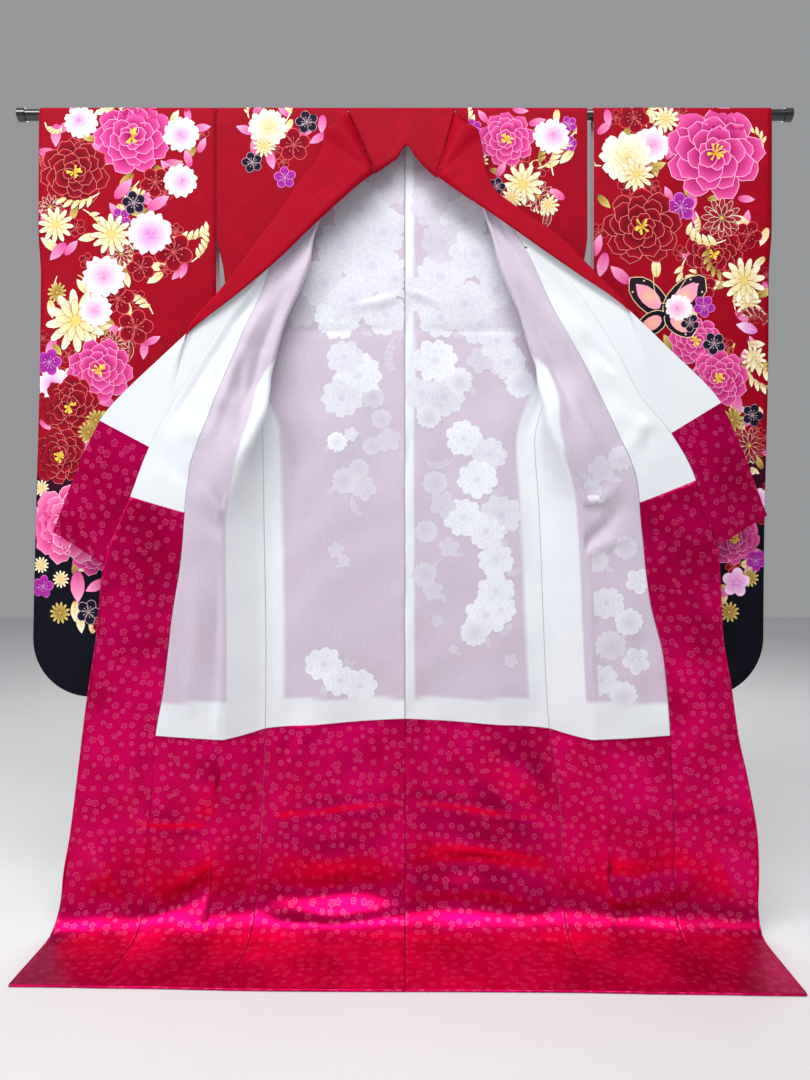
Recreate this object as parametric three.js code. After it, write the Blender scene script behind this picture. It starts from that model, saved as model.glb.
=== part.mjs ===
// A furisode kimono hung open on a rod. Units are millimetres, +Z is up and the front faces -Y.
// The origin is the middle of the rod. Cloth hangs down from it and the hem lies on a floor plane.
// Every cloth panel is a wall built on one shared surface, so panels meet edge to edge at seams.
import * as THREE from 'three';

// ---- driving sizes ----
const ROD_RADIUS = 10;
const ROD_LENGTH = 1400;
const CAP_RADIUS = 12;
const CAP_LENGTH = 14;
const FLOOR_DROP = 1502; // rod axis down to the floor
const WALL = 1.2; // outer cloth
const LINING_WALL = 1.0;
const LAYER_GAP = 0.4; // outer cloth to lining
const SEAM_GAP = 0.3;
const ROD_WRAP = 11.4; // cloth radius where it passes over the rod
const BODY_DEPTH = 12.5; // half the depth of the hanging tube below the rod
const FLOOR_BEND = 70; // radius where the skirt turns onto the floor
const SLEEVE_INNER = 346.2;
const SLEEVE_DROP = 1076;
const SLEEVE_CORNER = 110;
const CUFF_DROP = 230;
const SEWN_HALF_DEPTH = 0.85; // half the depth of a sleeve along its sewn edges
const FOLD_RADIUS = 3.5; // collar fold

const HALF_WRAP = ROD_WRAP * Math.PI; // cloth length over the rod
const RIDGE = -HALF_WRAP / 2; // drop at the top of the rod
const SHOULDER_LINE = 15; // front and back panels meet this far below the axis, behind the rod
const SEAM_TURN = (BODY_DEPTH * Math.PI) / 2; // cloth length of half the bend at a side seam
const FOLD_TURN = 6 * Math.PI; // cloth length of the bend where a front turns back
const BEND_START = FLOOR_DROP - WALL / 2 - FLOOR_BEND;
const BEND_END = BEND_START + (FLOOR_BEND * Math.PI) / 2;

const RED = new THREE.MeshStandardMaterial({ color: 0x9c0a20, roughness: 0.7 });
const WHITE = new THREE.MeshStandardMaterial({ color: 0xdcd4de, roughness: 0.6 });
const PINK = new THREE.MeshStandardMaterial({ color: 0xb40a50, roughness: 0.4 });
const LACQUER = new THREE.MeshStandardMaterial({ color: 0x0a0a0c, roughness: 0.25 });

// ---- shape tables: [drop below the rod axis, value] ----
// Lateral values are distances from the centre back seam.
const SIDES = [
  {
    name: 'left',
    sign: -1,
    seam: [[-18, 338.5], [225, 338.5], [290, 327], [360, 325], [450, 300], [520, 281], [590, 264],
      [718, 262], [1000, 257], [1135, 258], [1266, 263], [1482, 276], [1700, 282]],
    run: [[-18, 197], [100, 190], [215, 158], [330, 115], [457, 42], [500, 22], [530, 16], [590, 22],
      [660, 36], [760, 50], [1700, 50]],
    turn: [[-18, 180], [500, 180], [590, 105], [660, 65], [760, 35], [900, 28], [1200, 24],
      [1380, 12], [1431, 6], [1541, 0], [1700, 0]],
    frontEdge: [[75, 133], [156, 178], [225, 224], [255, 237], [300, 249], [423, 299], [587, 362],
      [659, 386], [737, 395], [804, 401], [954, 423], [1047, 434], [1139, 450], [1239, 459],
      [1432, 478], [1700, 490]],
    okumiEdge: [[255, 241], [300, 262], [405, 332], [619, 459], [708, 493], [830, 539], [954, 552],
      [1071, 570], [1214, 590], [1319, 606], [1413, 625], [1541, 636], [1700, 636]],
    tip: 255,
    clip: 619,
    collarEnd: 830,
    okumiLining: [708, 737],
    sleeveOuter: [[-18, 671], [400, 674], [800, 684], [1076, 690]],
    hemDrop: [1686, 1672],
    // seam drop, fold lateral, fold drop, free edge lateral, free edge drop, free edge y, folded share
    collar: [
      [-18, 100, 0, 52, 116, -20, 0],
      [0, 104, 2, 54, 118, -21, 0],
      [30, 122, 26, 56, 120, -26, 0.8],
      [52, 144, 48, 58, 122, -28, 1],
      [75, 149, 71, 60, 124, -31, 1],
      [110, 163, 103, 85, 143, -32, 1],
      [156, 190, 135, 112, 168, -34, 1],
      [225, 219, 179, 172, 224, -36, 1],
      [300, 270, 250, 225, 277, -39, 1],
      [405, 326, 327, 302, 344, -43, 1],
      [480, 380, 391, 370, 398, -46, 1],
      [545, 435, 456, 435, 456, -46, 0],
      [619, 547, 572, 547, 572, -46, 0],
      [830, 631, 771, 631, 771, -46, 0],
    ],
  },
  {
    name: 'right',
    sign: 1,
    seam: [[-18, 327.5], [225, 327.5], [290, 320], [360, 318], [440, 296], [520, 262], [603, 241],
      [718, 248], [813, 252], [955, 257], [1125, 266], [1239, 283], [1361, 290], [1700, 296]],
    run: [[-18, 198], [100, 192], [184, 165], [278, 132], [382, 84], [440, 49], [480, 20], [510, 14],
      [560, 22], [620, 36], [730, 50], [1700, 50]],
    turn: [[-18, 180], [470, 180], [550, 105], [620, 65], [730, 35], [900, 28], [1200, 24],
      [1380, 12], [1431, 6], [1541, 0], [1700, 0]],
    frontEdge: [[90, 118], [150, 147], [205, 186], [255, 218], [300, 240], [374, 272], [478, 328],
      [583, 377], [682, 416], [766, 425], [893, 440], [991, 464], [1085, 475], [1239, 484],
      [1432, 494], [1700, 500]],
    okumiEdge: [[255, 224], [300, 285], [370, 336], [450, 384], [525, 422], [594, 478], [679, 522],
      [733, 533], [797, 560], [954, 569], [1038, 583], [1146, 600], [1216, 617], [1338, 640],
      [1432, 646], [1541, 638], [1700, 632]],
    tip: 255,
    clip: 594,
    collarEnd: 797,
    okumiLining: [679, 719],
    sleeveOuter: [[-18, 673], [400, 672], [800, 664], [1076, 662]],
    hemDrop: [1686, 1698],
    collar: [
      [-18, 90, 0, 56, 124, -20, 0],
      [0, 93, 2, 57, 125, -21, 0],
      [30, 110, 26, 58, 126, -26, 0.8],
      [52, 132, 48, 59, 127, -28, 1],
      [75, 138, 71, 61, 129, -31, 1],
      [110, 144, 102, 80, 143, -32, 1],
      [156, 160, 146, 108, 163, -34, 1],
      [225, 205, 184, 178, 211, -36, 1],
      [300, 281, 239, 258, 269, -39, 1],
      [370, 335, 295, 318, 312, -43, 1],
      [450, 388, 351, 380, 356, -46, 1],
      [530, 470, 440, 470, 440, -46, 0],
      [594, 566, 540, 566, 540, -46, 0],
      [797, 649, 742, 649, 742, -46, 0],
    ],
  },
];

// Depth tables shared by both sides: [drop, y].
const BACK_Y = [[0, BODY_DEPTH], [200, 12], [500, 9], [800, 5], [1100, 2], [1400, 0], [1700, 0]];
const FLAP_Y = [[75, -24.5], [225, -25], [300, -27], [400, -31], [500, -37], [600, -45], [700, -46],
  [800, -43], [1076, -38], [1300, -26], [1431, -12], [1541, 0], [1700, 0]];
const EDGE_Y = [[75, -24.5], [225, -26], [300, -30], [405, -35], [480, -40], [619, -44], [830, -46],
  [1076, -42], [1300, -30], [1431, -14], [1541, 0], [1700, 0]];
const SKIRT_WAVE = [[0, 0], [700, 0], [1100, 5], [1300, 7], [1431, 3], [1541, 0], [1700, 0]];
const LINING_HEM = [[0, 1117], [0.5, 1125], [1, 1134], [1.5, 1148], [2, 1139]]; // by panel place

const NECK_ROWS = [ // lateral on the rod, free edge lateral, free edge drop
  [-103.7, -53, 117],
  [-70, -34, 104],
  [-36, -15, 90],
  [0, 3, 66],
  [34, 20, 88],
  [64, 38, 108],
  [91.6, 56, 125],
];
const NECK_FREE_Y = -21;
const WRAP_ROWS = [-6, -5, -4, -3, -2, -1, 0].map((k) => (k * HALF_WRAP) / 6);

const ROWS = [-HALF_WRAP - SHOULDER_LINE, ...WRAP_ROWS, 30, 52, 75, 110, 156, 190, 225, 300, 360,
  405, 450, 480, 530, 560, 590, 640, 690, 760, 900, 1040, 1100, 1200, 1300, BEND_START,
  BEND_START + 37, BEND_START + 74, BEND_END];

// Places across the body, from 0 at the centre back: the side seam's bend lies between BEND_PLACE
// and RUN_PLACE, and the turn back of the front lies between TURN_PLACE and FLAP_PLACE.
const BEND_PLACE = 0.9;
const SEAM_PLACE = 1;
const RUN_PLACE = 1.15;
const TURN_PLACE = 1.4;
const FLAP_PLACE = 1.6;
const FRONT_EDGE_PLACE = 2;
const OKUMI_EDGE_PLACE = 3;
const BACK_COLUMNS = [0, 0.3, 0.6, BEND_PLACE, 0.95, SEAM_PLACE];
const FRONT_COLUMNS = [SEAM_PLACE + 0.001, 1.075, RUN_PLACE, TURN_PLACE, 1.467, 1.533, FLAP_PLACE,
  1.8, FRONT_EDGE_PLACE];
const OKUMI_COLUMNS = [FRONT_EDGE_PLACE, 2.33, 2.67, OKUMI_EDGE_PLACE];
const MIN_STEP = 5; // least cloth between two rows

// ---- curves ----
// A smooth curve through table rows that never overshoots them.
function along(table, at, column = 1) {
  const last = table.length - 1;
  if (at <= table[0][0]) return table[0][column];
  if (at >= table[last][0]) return table[last][column];
  const i = table.findIndex((row) => row[0] > at) - 1;
  const slope = (k) => {
    if (k < 0 || k >= last) return 0;
    return (table[k + 1][column] - table[k][column]) / (table[k + 1][0] - table[k][0]);
  };
  const tangent = (k) => {
    const before = slope(k - 1);
    const after = slope(k);
    if (k === 0) return after;
    if (k === last) return before;
    return before * after <= 0 ? 0 : (2 * before * after) / (before + after);
  };
  const span = table[i + 1][0] - table[i][0];
  const t = (at - table[i][0]) / span;
  const start = (1 + 2 * t) * (1 - t) ** 2 * table[i][column] + t * (1 - t) ** 2 * span * tangent(i);
  const end = t * t * (3 - 2 * t) * table[i + 1][column] + t * t * (t - 1) * span * tangent(i + 1);
  return start + end;
}

const mix = (from, to, share) => from + (to - from) * share;

function smooth(low, high, at) {
  const t = Math.min(1, Math.max(0, (at - low) / (high - low)));
  return t * t * (3 - 2 * t);
}

// Moves a pen along an arc in plan: a is lateral, y is depth, heading 0 points outward.
function arc(pen, length, from, to) {
  const sweep = to - from;
  if (Math.abs(sweep) < 1e-6) {
    return { a: pen.a + length * Math.cos(from), y: pen.y - length * Math.sin(from) };
  }
  const radius = length / sweep;
  return {
    a: pen.a + radius * (Math.sin(to) - Math.sin(from)),
    y: pen.y - radius * (Math.cos(from) - Math.cos(to)),
  };
}

// Depth of the cloth from the rod's axis, toward the front. A negative drop is cloth length back up
// over the rod, and past HALF_WRAP it hangs behind the rod, where the depth is negative.
function wrapDepth(drop) {
  if (drop < -HALF_WRAP) return -wrapDepth(-HALF_WRAP - drop);
  if (drop < 0) return ROD_WRAP * Math.cos(-drop / ROD_WRAP);
  return mix(ROD_WRAP, BODY_DEPTH, smooth(0, 30, drop));
}

// Where the cloth length `drop` lies: over the rod, straight down, round the bend, on the floor.
function fall(drop) {
  if (drop < -HALF_WRAP) return { y: 0, z: HALF_WRAP + drop };
  if (drop < 0) return { y: 0, z: ROD_WRAP * Math.sin(-drop / ROD_WRAP) };
  if (drop < BEND_START) return { y: 0, z: -drop };
  const angle = Math.min(drop - BEND_START, BEND_END - BEND_START) / FLOOR_BEND;
  return {
    y: -FLOOR_BEND * (1 - Math.cos(angle)) - Math.max(0, drop - BEND_END),
    z: -BEND_START - FLOOR_BEND * Math.sin(angle),
  };
}

// ---- the body's surface ----
// The okumi is the narrow panel beyond the front panel.
function bodyPlan(side, place, drop) {
  const turn = THREE.MathUtils.degToRad(along(side.turn, drop));
  const half = Math.max(turn / 2, 1e-6);
  const closed = smooth(250, 370, drop);
  const backY = drop < 30 ? wrapDepth(drop) : along(BACK_Y, drop);
  const seamStart = {
    a: along(side.seam, drop) - (SEAM_TURN * Math.sin(half)) / half,
    y: backY,
  };
  if (place <= SEAM_PLACE) {
    if (place <= BEND_PLACE) {
      const share = place / BEND_PLACE;
      const wave = along(SKIRT_WAVE, drop) * Math.sin(2 * Math.PI * share) * smooth(0, 0.3, 1 - share);
      return { a: seamStart.a * share, y: seamStart.y + wave };
    }
    const share = (place - BEND_PLACE) / (SEAM_PLACE - BEND_PLACE);
    return arc(seamStart, SEAM_TURN * share, 0, closed * half * share);
  }
  const wrapShare = drop < 30 ? wrapDepth(drop) / BODY_DEPTH : 1;
  const turned = arc({ a: seamStart.a, y: 0 }, 2 * SEAM_TURN, 0, 2 * half);
  const hiddenStart = { a: turned.a, y: seamStart.y + turned.y * wrapShare };
  const runLength = along(side.run, drop);
  const hiddenEnd = arc(hiddenStart, runLength, 2 * half, 2 * half);
  const backTurn = smooth(-5, 65, drop);
  const flapHeading = 2 * half * (1 - backTurn);
  const flapStart = arc(hiddenEnd, FOLD_TURN, 2 * half, flapHeading);
  if (place <= RUN_PLACE) {
    const share = (RUN_PLACE - place) / (RUN_PLACE - SEAM_PLACE);
    const heading = 2 * half - closed * half * share;
    const start = arc({ a: 0, y: 0 }, SEAM_TURN * share, heading, 2 * half);
    return { a: hiddenStart.a - start.a, y: hiddenStart.y - start.y };
  }
  if (place <= TURN_PLACE) {
    const share = (place - RUN_PLACE) / (TURN_PLACE - RUN_PLACE);
    return arc(hiddenStart, runLength * share, 2 * half, 2 * half);
  }
  if (place <= FLAP_PLACE) {
    const share = (place - TURN_PLACE) / (FLAP_PLACE - TURN_PLACE);
    return arc(hiddenEnd, FOLD_TURN * share, 2 * half, mix(2 * half, flapHeading, share));
  }
  const reach = drop < 100
    ? mix(6, 12, Math.max(0, drop) / 100)
    : Math.max(12, along(side.frontEdge, drop) - flapStart.a);
  const flapEnd = arc(flapStart, reach, flapHeading, flapHeading);
  const flapY = mix(flapEnd.y, along(FLAP_Y, drop), smooth(100, 200, drop));
  if (place <= FRONT_EDGE_PLACE) {
    const share = (place - FLAP_PLACE) / (FRONT_EDGE_PLACE - FLAP_PLACE);
    const straight = arc(flapStart, reach * share, flapHeading, flapHeading);
    return { a: straight.a, y: mix(straight.y, straight.y + flapY - flapEnd.y, smooth(0, 1, share)) };
  }
  const share = place - FRONT_EDGE_PLACE;
  return {
    a: mix(flapEnd.a, along(side.okumiEdge, drop), share),
    y: mix(flapY, along(EDGE_Y, drop), smooth(0, 1, share)),
  };
}

function bodyPoint(side, place, drop) {
  const plan = bodyPlan(side, place, drop);
  const down = fall(drop);
  return new THREE.Vector3(side.sign * plan.a, plan.y + down.y, down.z);
}

// The normal points to the garment's inner face. It is taken inside one panel's own range.
function surfaceNormal(pointAt, u, v, uRange, vRange, flip) {
  const step = 0.004;
  const drop = 0.5;
  const acrossLow = pointAt(Math.max(uRange[0], u - step), v);
  const acrossHigh = pointAt(Math.min(uRange[1], u + step), v);
  const downLow = pointAt(u, Math.max(vRange[0], v - drop));
  const downHigh = pointAt(u, Math.min(vRange[1], v + drop));
  return acrossHigh.sub(acrossLow).cross(downHigh.sub(downLow)).normalize().multiplyScalar(flip);
}

function hemDrop(side, place) {
  return mix(side.hemDrop[0], side.hemDrop[1], smooth(0, OKUMI_EDGE_PLACE, place));
}

function bodyRows(side) {
  const extra = [side.tip, side.clip, side.collarEnd];
  return [...ROWS, ...extra].sort((a, b) => a - b).filter((drop, i, all) => {
    return extra.includes(drop) || !extra.some((kept) => Math.abs(kept - drop) < 20);
  });
}

// Points of one column between two drops: the shared rows, with straight cloth in between, so that
// every layer follows the same facets.
function bodyColumn(side, place, range, drop) {
  const rows = [...bodyRows(side), hemDrop(side, place)];
  const i = Math.min(rows.length - 2, Math.max(0, rows.findIndex((row) => row >= drop - 1e-6) - 1));
  const share = (drop - rows[i]) / (rows[i + 1] - rows[i]);
  const at = (row) => {
    const pointAt = (u, v) => bodyPoint(side, u, v);
    const reach = [ROWS[0], hemDrop(side, place)];
    const normal = surfaceNormal(pointAt, place, row, range, reach, -side.sign);
    return { point: pointAt(place, row), normal };
  };
  const upper = at(rows[i]);
  const lower = at(rows[i + 1]);
  return {
    point: upper.point.lerp(lower.point, share),
    normal: upper.normal.lerp(lower.normal, share).normalize(),
  };
}

// A panel of the body between two drops, each a number or a function of place.
function bodyPanel(side, columns, top, bottom) {
  const value = (limit, place) => (typeof limit === 'function' ? limit(place) : limit);
  const tops = columns.map((place) => value(top, place));
  const bottoms = columns.map((place) => value(bottom, place));
  const range = [columns[0], columns.at(-1)];
  const shared = bodyRows(side).filter((drop) => {
    return drop > Math.min(...tops) + MIN_STEP && drop < Math.max(...bottoms) - MIN_STEP;
  });
  const inner = shared.map((drop, i) => columns.map((place, j) => {
    const highest = tops[j] + MIN_STEP * (i + 1);
    const lowest = bottoms[j] - MIN_STEP * (shared.length - i);
    return Math.min(Math.max(drop, highest), lowest);
  }));
  const rows = [tops, ...inner, bottoms];
  return rows.map((row) => columns.map((place, j) => bodyColumn(side, place, range, row[j])));
}

// ---- walls ----
// Pulls the outer rows and columns of a grid back, so that neighbours keep their seam gap.
function trimmed(grid, { sides = SEAM_GAP / 2, top = SEAM_GAP / 2, bottom = 0 }) {
  const pull = (from, to, distance) => {
    const away = to.point.clone().sub(from.point);
    const length = away.length();
    if (length > distance) from.point.addScaledVector(away, distance / length);
  };
  grid.forEach((row) => {
    const before = row.at(-2);
    pull(row[0], row[1], sides);
    pull(row.at(-1), before, sides);
  });
  grid[0].forEach((cell, j) => pull(cell, grid[1][j], top));
  grid.at(-1).forEach((cell, j) => pull(cell, grid.at(-2)[j], bottom));
  return grid;
}

// A closed wall on a grid of points, from offset `low` to offset `high` along the normals.
function wall(name, grid, low, high, material) {
  const rows = grid.length;
  const columns = grid[0].length;
  const positions = [];
  [low, high].forEach((offset) => grid.forEach((row) => row.forEach((cell) => {
    positions.push(...cell.point.clone().addScaledVector(cell.normal, offset).toArray());
  })));
  const at = (layer, i, j) => layer * rows * columns + i * columns + j;
  const triangles = [];
  const quad = (a, b, c, d) => triangles.push(a, b, c, a, c, d);
  for (let i = 0; i < rows - 1; i += 1) {
    for (let j = 0; j < columns - 1; j += 1) {
      quad(at(0, i, j), at(0, i, j + 1), at(0, i + 1, j + 1), at(0, i + 1, j));
      quad(at(1, i, j), at(1, i + 1, j), at(1, i + 1, j + 1), at(1, i, j + 1));
    }
  }
  for (let j = 0; j < columns - 1; j += 1) {
    quad(at(0, 0, j + 1), at(0, 0, j), at(1, 0, j), at(1, 0, j + 1));
    quad(at(0, rows - 1, j), at(0, rows - 1, j + 1), at(1, rows - 1, j + 1), at(1, rows - 1, j));
  }
  for (let i = 0; i < rows - 1; i += 1) {
    quad(at(0, i, 0), at(0, i + 1, 0), at(1, i + 1, 0), at(1, i, 0));
    quad(at(0, i + 1, columns - 1), at(0, i, columns - 1), at(1, i, columns - 1),
      at(1, i + 1, columns - 1));
  }
  if (signedVolume(positions, triangles) < 0) triangles.reverse();
  const geometry = new THREE.BufferGeometry();
  geometry.setAttribute('position', new THREE.Float32BufferAttribute(positions, 3));
  geometry.setIndex(triangles);
  geometry.computeVertexNormals();
  const mesh = new THREE.Mesh(geometry, material);
  mesh.name = name;
  return mesh;
}

function signedVolume(positions, triangles) {
  const vertex = (k) => new THREE.Vector3().fromArray(positions, 3 * triangles[k]);
  let volume = 0;
  for (let k = 0; k < triangles.length; k += 3) {
    volume += vertex(k).dot(vertex(k + 1).cross(vertex(k + 2))) / 6;
  }
  return volume;
}

const outerWall = (name, grid) => wall(name, grid, -WALL / 2, WALL / 2, RED);

function liningWall(name, grid, material) {
  const low = WALL / 2 + LAYER_GAP;
  return wall(name, grid, low, low + LINING_WALL, material);
}

// ---- body panels ----
const liningHem = (place) => along(LINING_HEM, place);
const BACK_LINING_TOP = 30;
const FRONT_LINING_TOP = 110;

function bodyPanels(side) {
  const { name } = side;
  const hem = (place) => hemDrop(side, place);
  const okumiSplit = (place) => mix(side.okumiLining[1], side.okumiLining[0], place - FRONT_EDGE_PLACE);
  const back = bodyPanel(side, BACK_COLUMNS, SHOULDER_LINE, hem);
  const backLining = bodyPanel(side, BACK_COLUMNS, BACK_LINING_TOP, liningHem);
  const backSkirt = bodyPanel(side, BACK_COLUMNS, liningHem, hem);
  const front = bodyPanel(side, FRONT_COLUMNS, ROWS[0], hem);
  const frontLining = bodyPanel(side, FRONT_COLUMNS, FRONT_LINING_TOP, liningHem);
  const frontSkirt = bodyPanel(side, FRONT_COLUMNS, liningHem, hem);
  const okumi = bodyPanel(side, OKUMI_COLUMNS, side.tip + 8, hem);
  const okumiLining = bodyPanel(side, OKUMI_COLUMNS, side.tip + 8, okumiSplit);
  const okumiSkirt = bodyPanel(side, OKUMI_COLUMNS, okumiSplit, hem);
  return [
    outerWall(`${name}_back_outer`, trimmed(back, {})),
    liningWall(`${name}_back_lining`, trimmed(backLining, {}), WHITE),
    liningWall(`${name}_back_hem_lining`, trimmed(backSkirt, {}), PINK),
    outerWall(`${name}_front_outer`, trimmed(front, {})),
    liningWall(`${name}_front_lining`, trimmed(frontLining, {}), WHITE),
    liningWall(`${name}_front_hem_lining`, trimmed(frontSkirt, {}), PINK),
    outerWall(`${name}_okumi_outer`, trimmed(okumi, {})),
    liningWall(`${name}_okumi_lining`, trimmed(okumiLining, {}), WHITE),
    liningWall(`${name}_okumi_hem_lining`, trimmed(okumiSkirt, {}), PINK),
  ];
}

// ---- collar ----
function seamPoint(side, drop) {
  const place = drop < side.tip ? FRONT_EDGE_PLACE : OKUMI_EDGE_PLACE;
  return bodyPoint(side, place, drop);
}

const COLLAR_STEPS = [0, 0.08, 0.16, 0.24, 0.34, 0.46, 0.6, 0.8, 1];

function collarRow(side, drop) {
  const value = (column) => along(side.collar, drop, column);
  const seam = seamPoint(side, drop);
  const fold = new THREE.Vector3(side.sign * value(1), 0, -value(2));
  const edge = new THREE.Vector3(side.sign * value(3), value(5), -value(4));
  const straight = COLLAR_STEPS.map((step) => seam.clone().lerp(edge, step));
  const folded = value(6);
  if (folded <= 0) return straight;
  const backY = seam.y - 1;
  const frontY = backY - 2 * FOLD_RADIUS;
  const flat = (from) => new THREE.Vector3(fold.x - from.x, 0, fold.z - from.z).normalize();
  const back = fold.clone().addScaledVector(flat(seam), -FOLD_RADIUS).setY(backY);
  const front = fold.clone().addScaledVector(flat(edge), -FOLD_RADIUS).setY(frontY);
  const middle = fold.clone().setY(backY - FOLD_RADIUS);
  const corner = (end, y) => end.clone().lerp(fold, 0.7).setY(mix(y, middle.y, 0.3));
  const path = [
    seam,
    seam.clone().lerp(back, 0.5),
    back,
    corner(back, backY),
    middle,
    corner(front, frontY),
    front,
    front.clone().lerp(edge, 0.5),
    edge,
  ];
  return path.map((point, j) => straight[j].clone().lerp(point, folded));
}

function gridFromPoints(rows) {
  return rows.map((row, i) => row.map((point, j) => {
    const across = row[Math.min(j + 1, row.length - 1)].clone().sub(row[Math.max(j - 1, 0)]);
    const lower = rows[Math.min(i + 1, rows.length - 1)][j];
    const down = lower.clone().sub(rows[Math.max(i - 1, 0)][j]);
    return { point: point.clone(), normal: across.cross(down).normalize() };
  }));
}

function facing(grid, sign) {
  grid.forEach((row) => row.forEach((cell) => cell.normal.multiplyScalar(sign)));
  return grid;
}

const COLLAR_SEAM = 0.9;
const LINING_SHOWS = 300; // the collar's lining is out of sight above this seam drop

function sideCollar(side) {
  const drops = bodyRows(side).filter((drop) => drop >= 0 && drop <= side.collarEnd);
  const rows = drops.map((drop) => collarRow(side, drop));
  const grid = () => facing(gridFromPoints(rows), -side.sign);
  const part = (from, to) => grid().filter((row, i) => drops[i] >= from && drops[i] <= to);
  const outer = trimmed(grid(), { sides: COLLAR_SEAM });
  const strip = trimmed(part(LINING_SHOWS, side.clip), { sides: COLLAR_SEAM });
  const end = trimmed(part(side.clip, side.collarEnd), { sides: COLLAR_SEAM });
  return [
    outerWall(`${side.name}_collar_outer`, outer),
    liningWall(`${side.name}_collar_lining`, strip, WHITE),
    liningWall(`${side.name}_collar_end_lining`, end, PINK),
  ];
}

// The collar behind the neck: up behind the rod, over it and down in front.
function neckCollar() {
  const wrapped = ROWS.filter((drop) => drop <= 0);
  const rows = NECK_ROWS.map(([lateral, edgeLateral, edgeDrop]) => {
    const overRod = wrapped.map((drop) => new THREE.Vector3(lateral, -wrapDepth(drop), fall(drop).z));
    const edge = new THREE.Vector3(edgeLateral, NECK_FREE_Y, -edgeDrop);
    const level = overRod.at(-1);
    return [...overRod, level.clone().lerp(edge, 0.33), level.clone().lerp(edge, 0.66), edge];
  });
  const grid = trimmed(facing(gridFromPoints(rows), 1), { sides: SEAM_GAP, bottom: SEAM_GAP / 2 });
  return outerWall('neck_collar_outer', grid);
}

// ---- sleeves ----
const SLEEVE_ROWS = [SLEEVE_DROP, 1066, 1044, 1010, SLEEVE_DROP - SLEEVE_CORNER, 800, 620, 440, 280,
  CUFF_DROP, 120, 30, 0, RIDGE / 3, (RIDGE * 2) / 3];
const SLEEVE_COLUMNS = [0, 0.25, 0.5, 0.75, 0.92, 1];

function sleevePoint(side, share, drop, face) {
  const straight = along(side.sleeveOuter, drop);
  const intoCorner = Math.max(0, drop - (SLEEVE_DROP - SLEEVE_CORNER));
  const cut = SLEEVE_CORNER - Math.sqrt(Math.max(0, SLEEVE_CORNER ** 2 - intoCorner ** 2));
  const outer = straight - cut;
  const lateral = mix(SLEEVE_INNER, outer, share);
  const sewn = 1 - smooth(CUFF_DROP - 20, CUFF_DROP + 70, drop) * (1 - smooth(0, 70, outer - lateral));
  const open = sewn * smooth(0, 90, SLEEVE_DROP - drop);
  const wave = 2.5 * Math.sin(9 * share) * smooth(100, 1000, drop);
  const depth = mix(SEWN_HALF_DEPTH, wrapDepth(drop), drop < 0 ? 1 : open);
  const atRidge = drop <= RIDGE + 1e-6 ? 0 : 1;
  return new THREE.Vector3(side.sign * lateral, face * depth * atRidge + wave, fall(drop).z);
}

function sleeve(side) {
  const down = [...SLEEVE_ROWS].reverse();
  const path = [
    ...SLEEVE_ROWS.map((drop) => [drop, -1]),
    [RIDGE, 1],
    ...down.map((drop) => [drop, 1]),
  ];
  const rows = path.map(([drop, face]) => {
    return SLEEVE_COLUMNS.map((share) => sleevePoint(side, share, drop, face));
  });
  return outerWall(`${side.name}_sleeve`, gridFromPoints(rows));
}

// ---- rod ----
function rodPieces() {
  const cylinder = (name, radius, length, centre) => {
    const geometry = new THREE.CylinderGeometry(radius, radius, length, 24);
    const mesh = new THREE.Mesh(geometry, LACQUER);
    mesh.name = name;
    mesh.rotation.z = Math.PI / 2;
    mesh.position.x = centre;
    return mesh;
  };
  const capCentre = ROD_LENGTH / 2 + SEAM_GAP + CAP_LENGTH / 2;
  return [
    cylinder('rod', ROD_RADIUS, ROD_LENGTH, 0),
    cylinder('left_rod_cap', CAP_RADIUS, CAP_LENGTH, -capCentre),
    cylinder('right_rod_cap', CAP_RADIUS, CAP_LENGTH, capCentre),
  ];
}

const kimono = new THREE.Group();
kimono.add(...rodPieces(), neckCollar());
SIDES.forEach((side) => kimono.add(sleeve(side), ...bodyPanels(side), ...sideCollar(side)));

export default kimono;
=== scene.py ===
"""A furisode kimono hung open on a rod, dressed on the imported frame.

Shapes are worked out in millimetres on the same surfaces as the CAD and written in metres.
`side` is the left or right half of the garment, `place` is the position across a body panel
and `drop` is the length of cloth below the rod's axis.
"""
import math

import bpy
import numpy as np
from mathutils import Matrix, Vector


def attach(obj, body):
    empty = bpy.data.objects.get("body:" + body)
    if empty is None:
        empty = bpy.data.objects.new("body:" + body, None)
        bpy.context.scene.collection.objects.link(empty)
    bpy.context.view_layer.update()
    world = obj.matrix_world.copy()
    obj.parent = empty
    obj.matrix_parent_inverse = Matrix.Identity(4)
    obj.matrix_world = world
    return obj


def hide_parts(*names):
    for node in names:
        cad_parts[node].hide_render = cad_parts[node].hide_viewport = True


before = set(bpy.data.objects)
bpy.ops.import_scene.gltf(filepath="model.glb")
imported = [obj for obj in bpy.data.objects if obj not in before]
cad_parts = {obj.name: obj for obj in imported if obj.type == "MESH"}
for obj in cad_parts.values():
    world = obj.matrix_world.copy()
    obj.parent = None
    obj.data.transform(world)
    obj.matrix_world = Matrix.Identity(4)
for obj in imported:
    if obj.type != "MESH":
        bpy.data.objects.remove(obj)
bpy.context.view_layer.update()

# ---------------------------------------------------------------- sizes shared with the CAD
FLOOR_DROP = 1502.0
WALL = 1.2
ROD_WRAP = 11.4
BODY_DEPTH = 12.5
FLOOR_BEND = 70.0
SLEEVE_INNER = 346.2
SLEEVE_DROP = 1076.0
SLEEVE_CORNER = 110.0
CUFF_DROP = 230.0
SEWN_HALF_DEPTH = 0.85
FOLD_RADIUS = 3.5
HALF_WRAP = ROD_WRAP * math.pi
RIDGE = -HALF_WRAP / 2
SHOULDER_LINE = 15.0
SEAM_TURN = BODY_DEPTH * math.pi / 2
FOLD_TURN = 6 * math.pi
BEND_START = FLOOR_DROP - WALL / 2 - FLOOR_BEND
BEND_END = BEND_START + FLOOR_BEND * math.pi / 2

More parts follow.
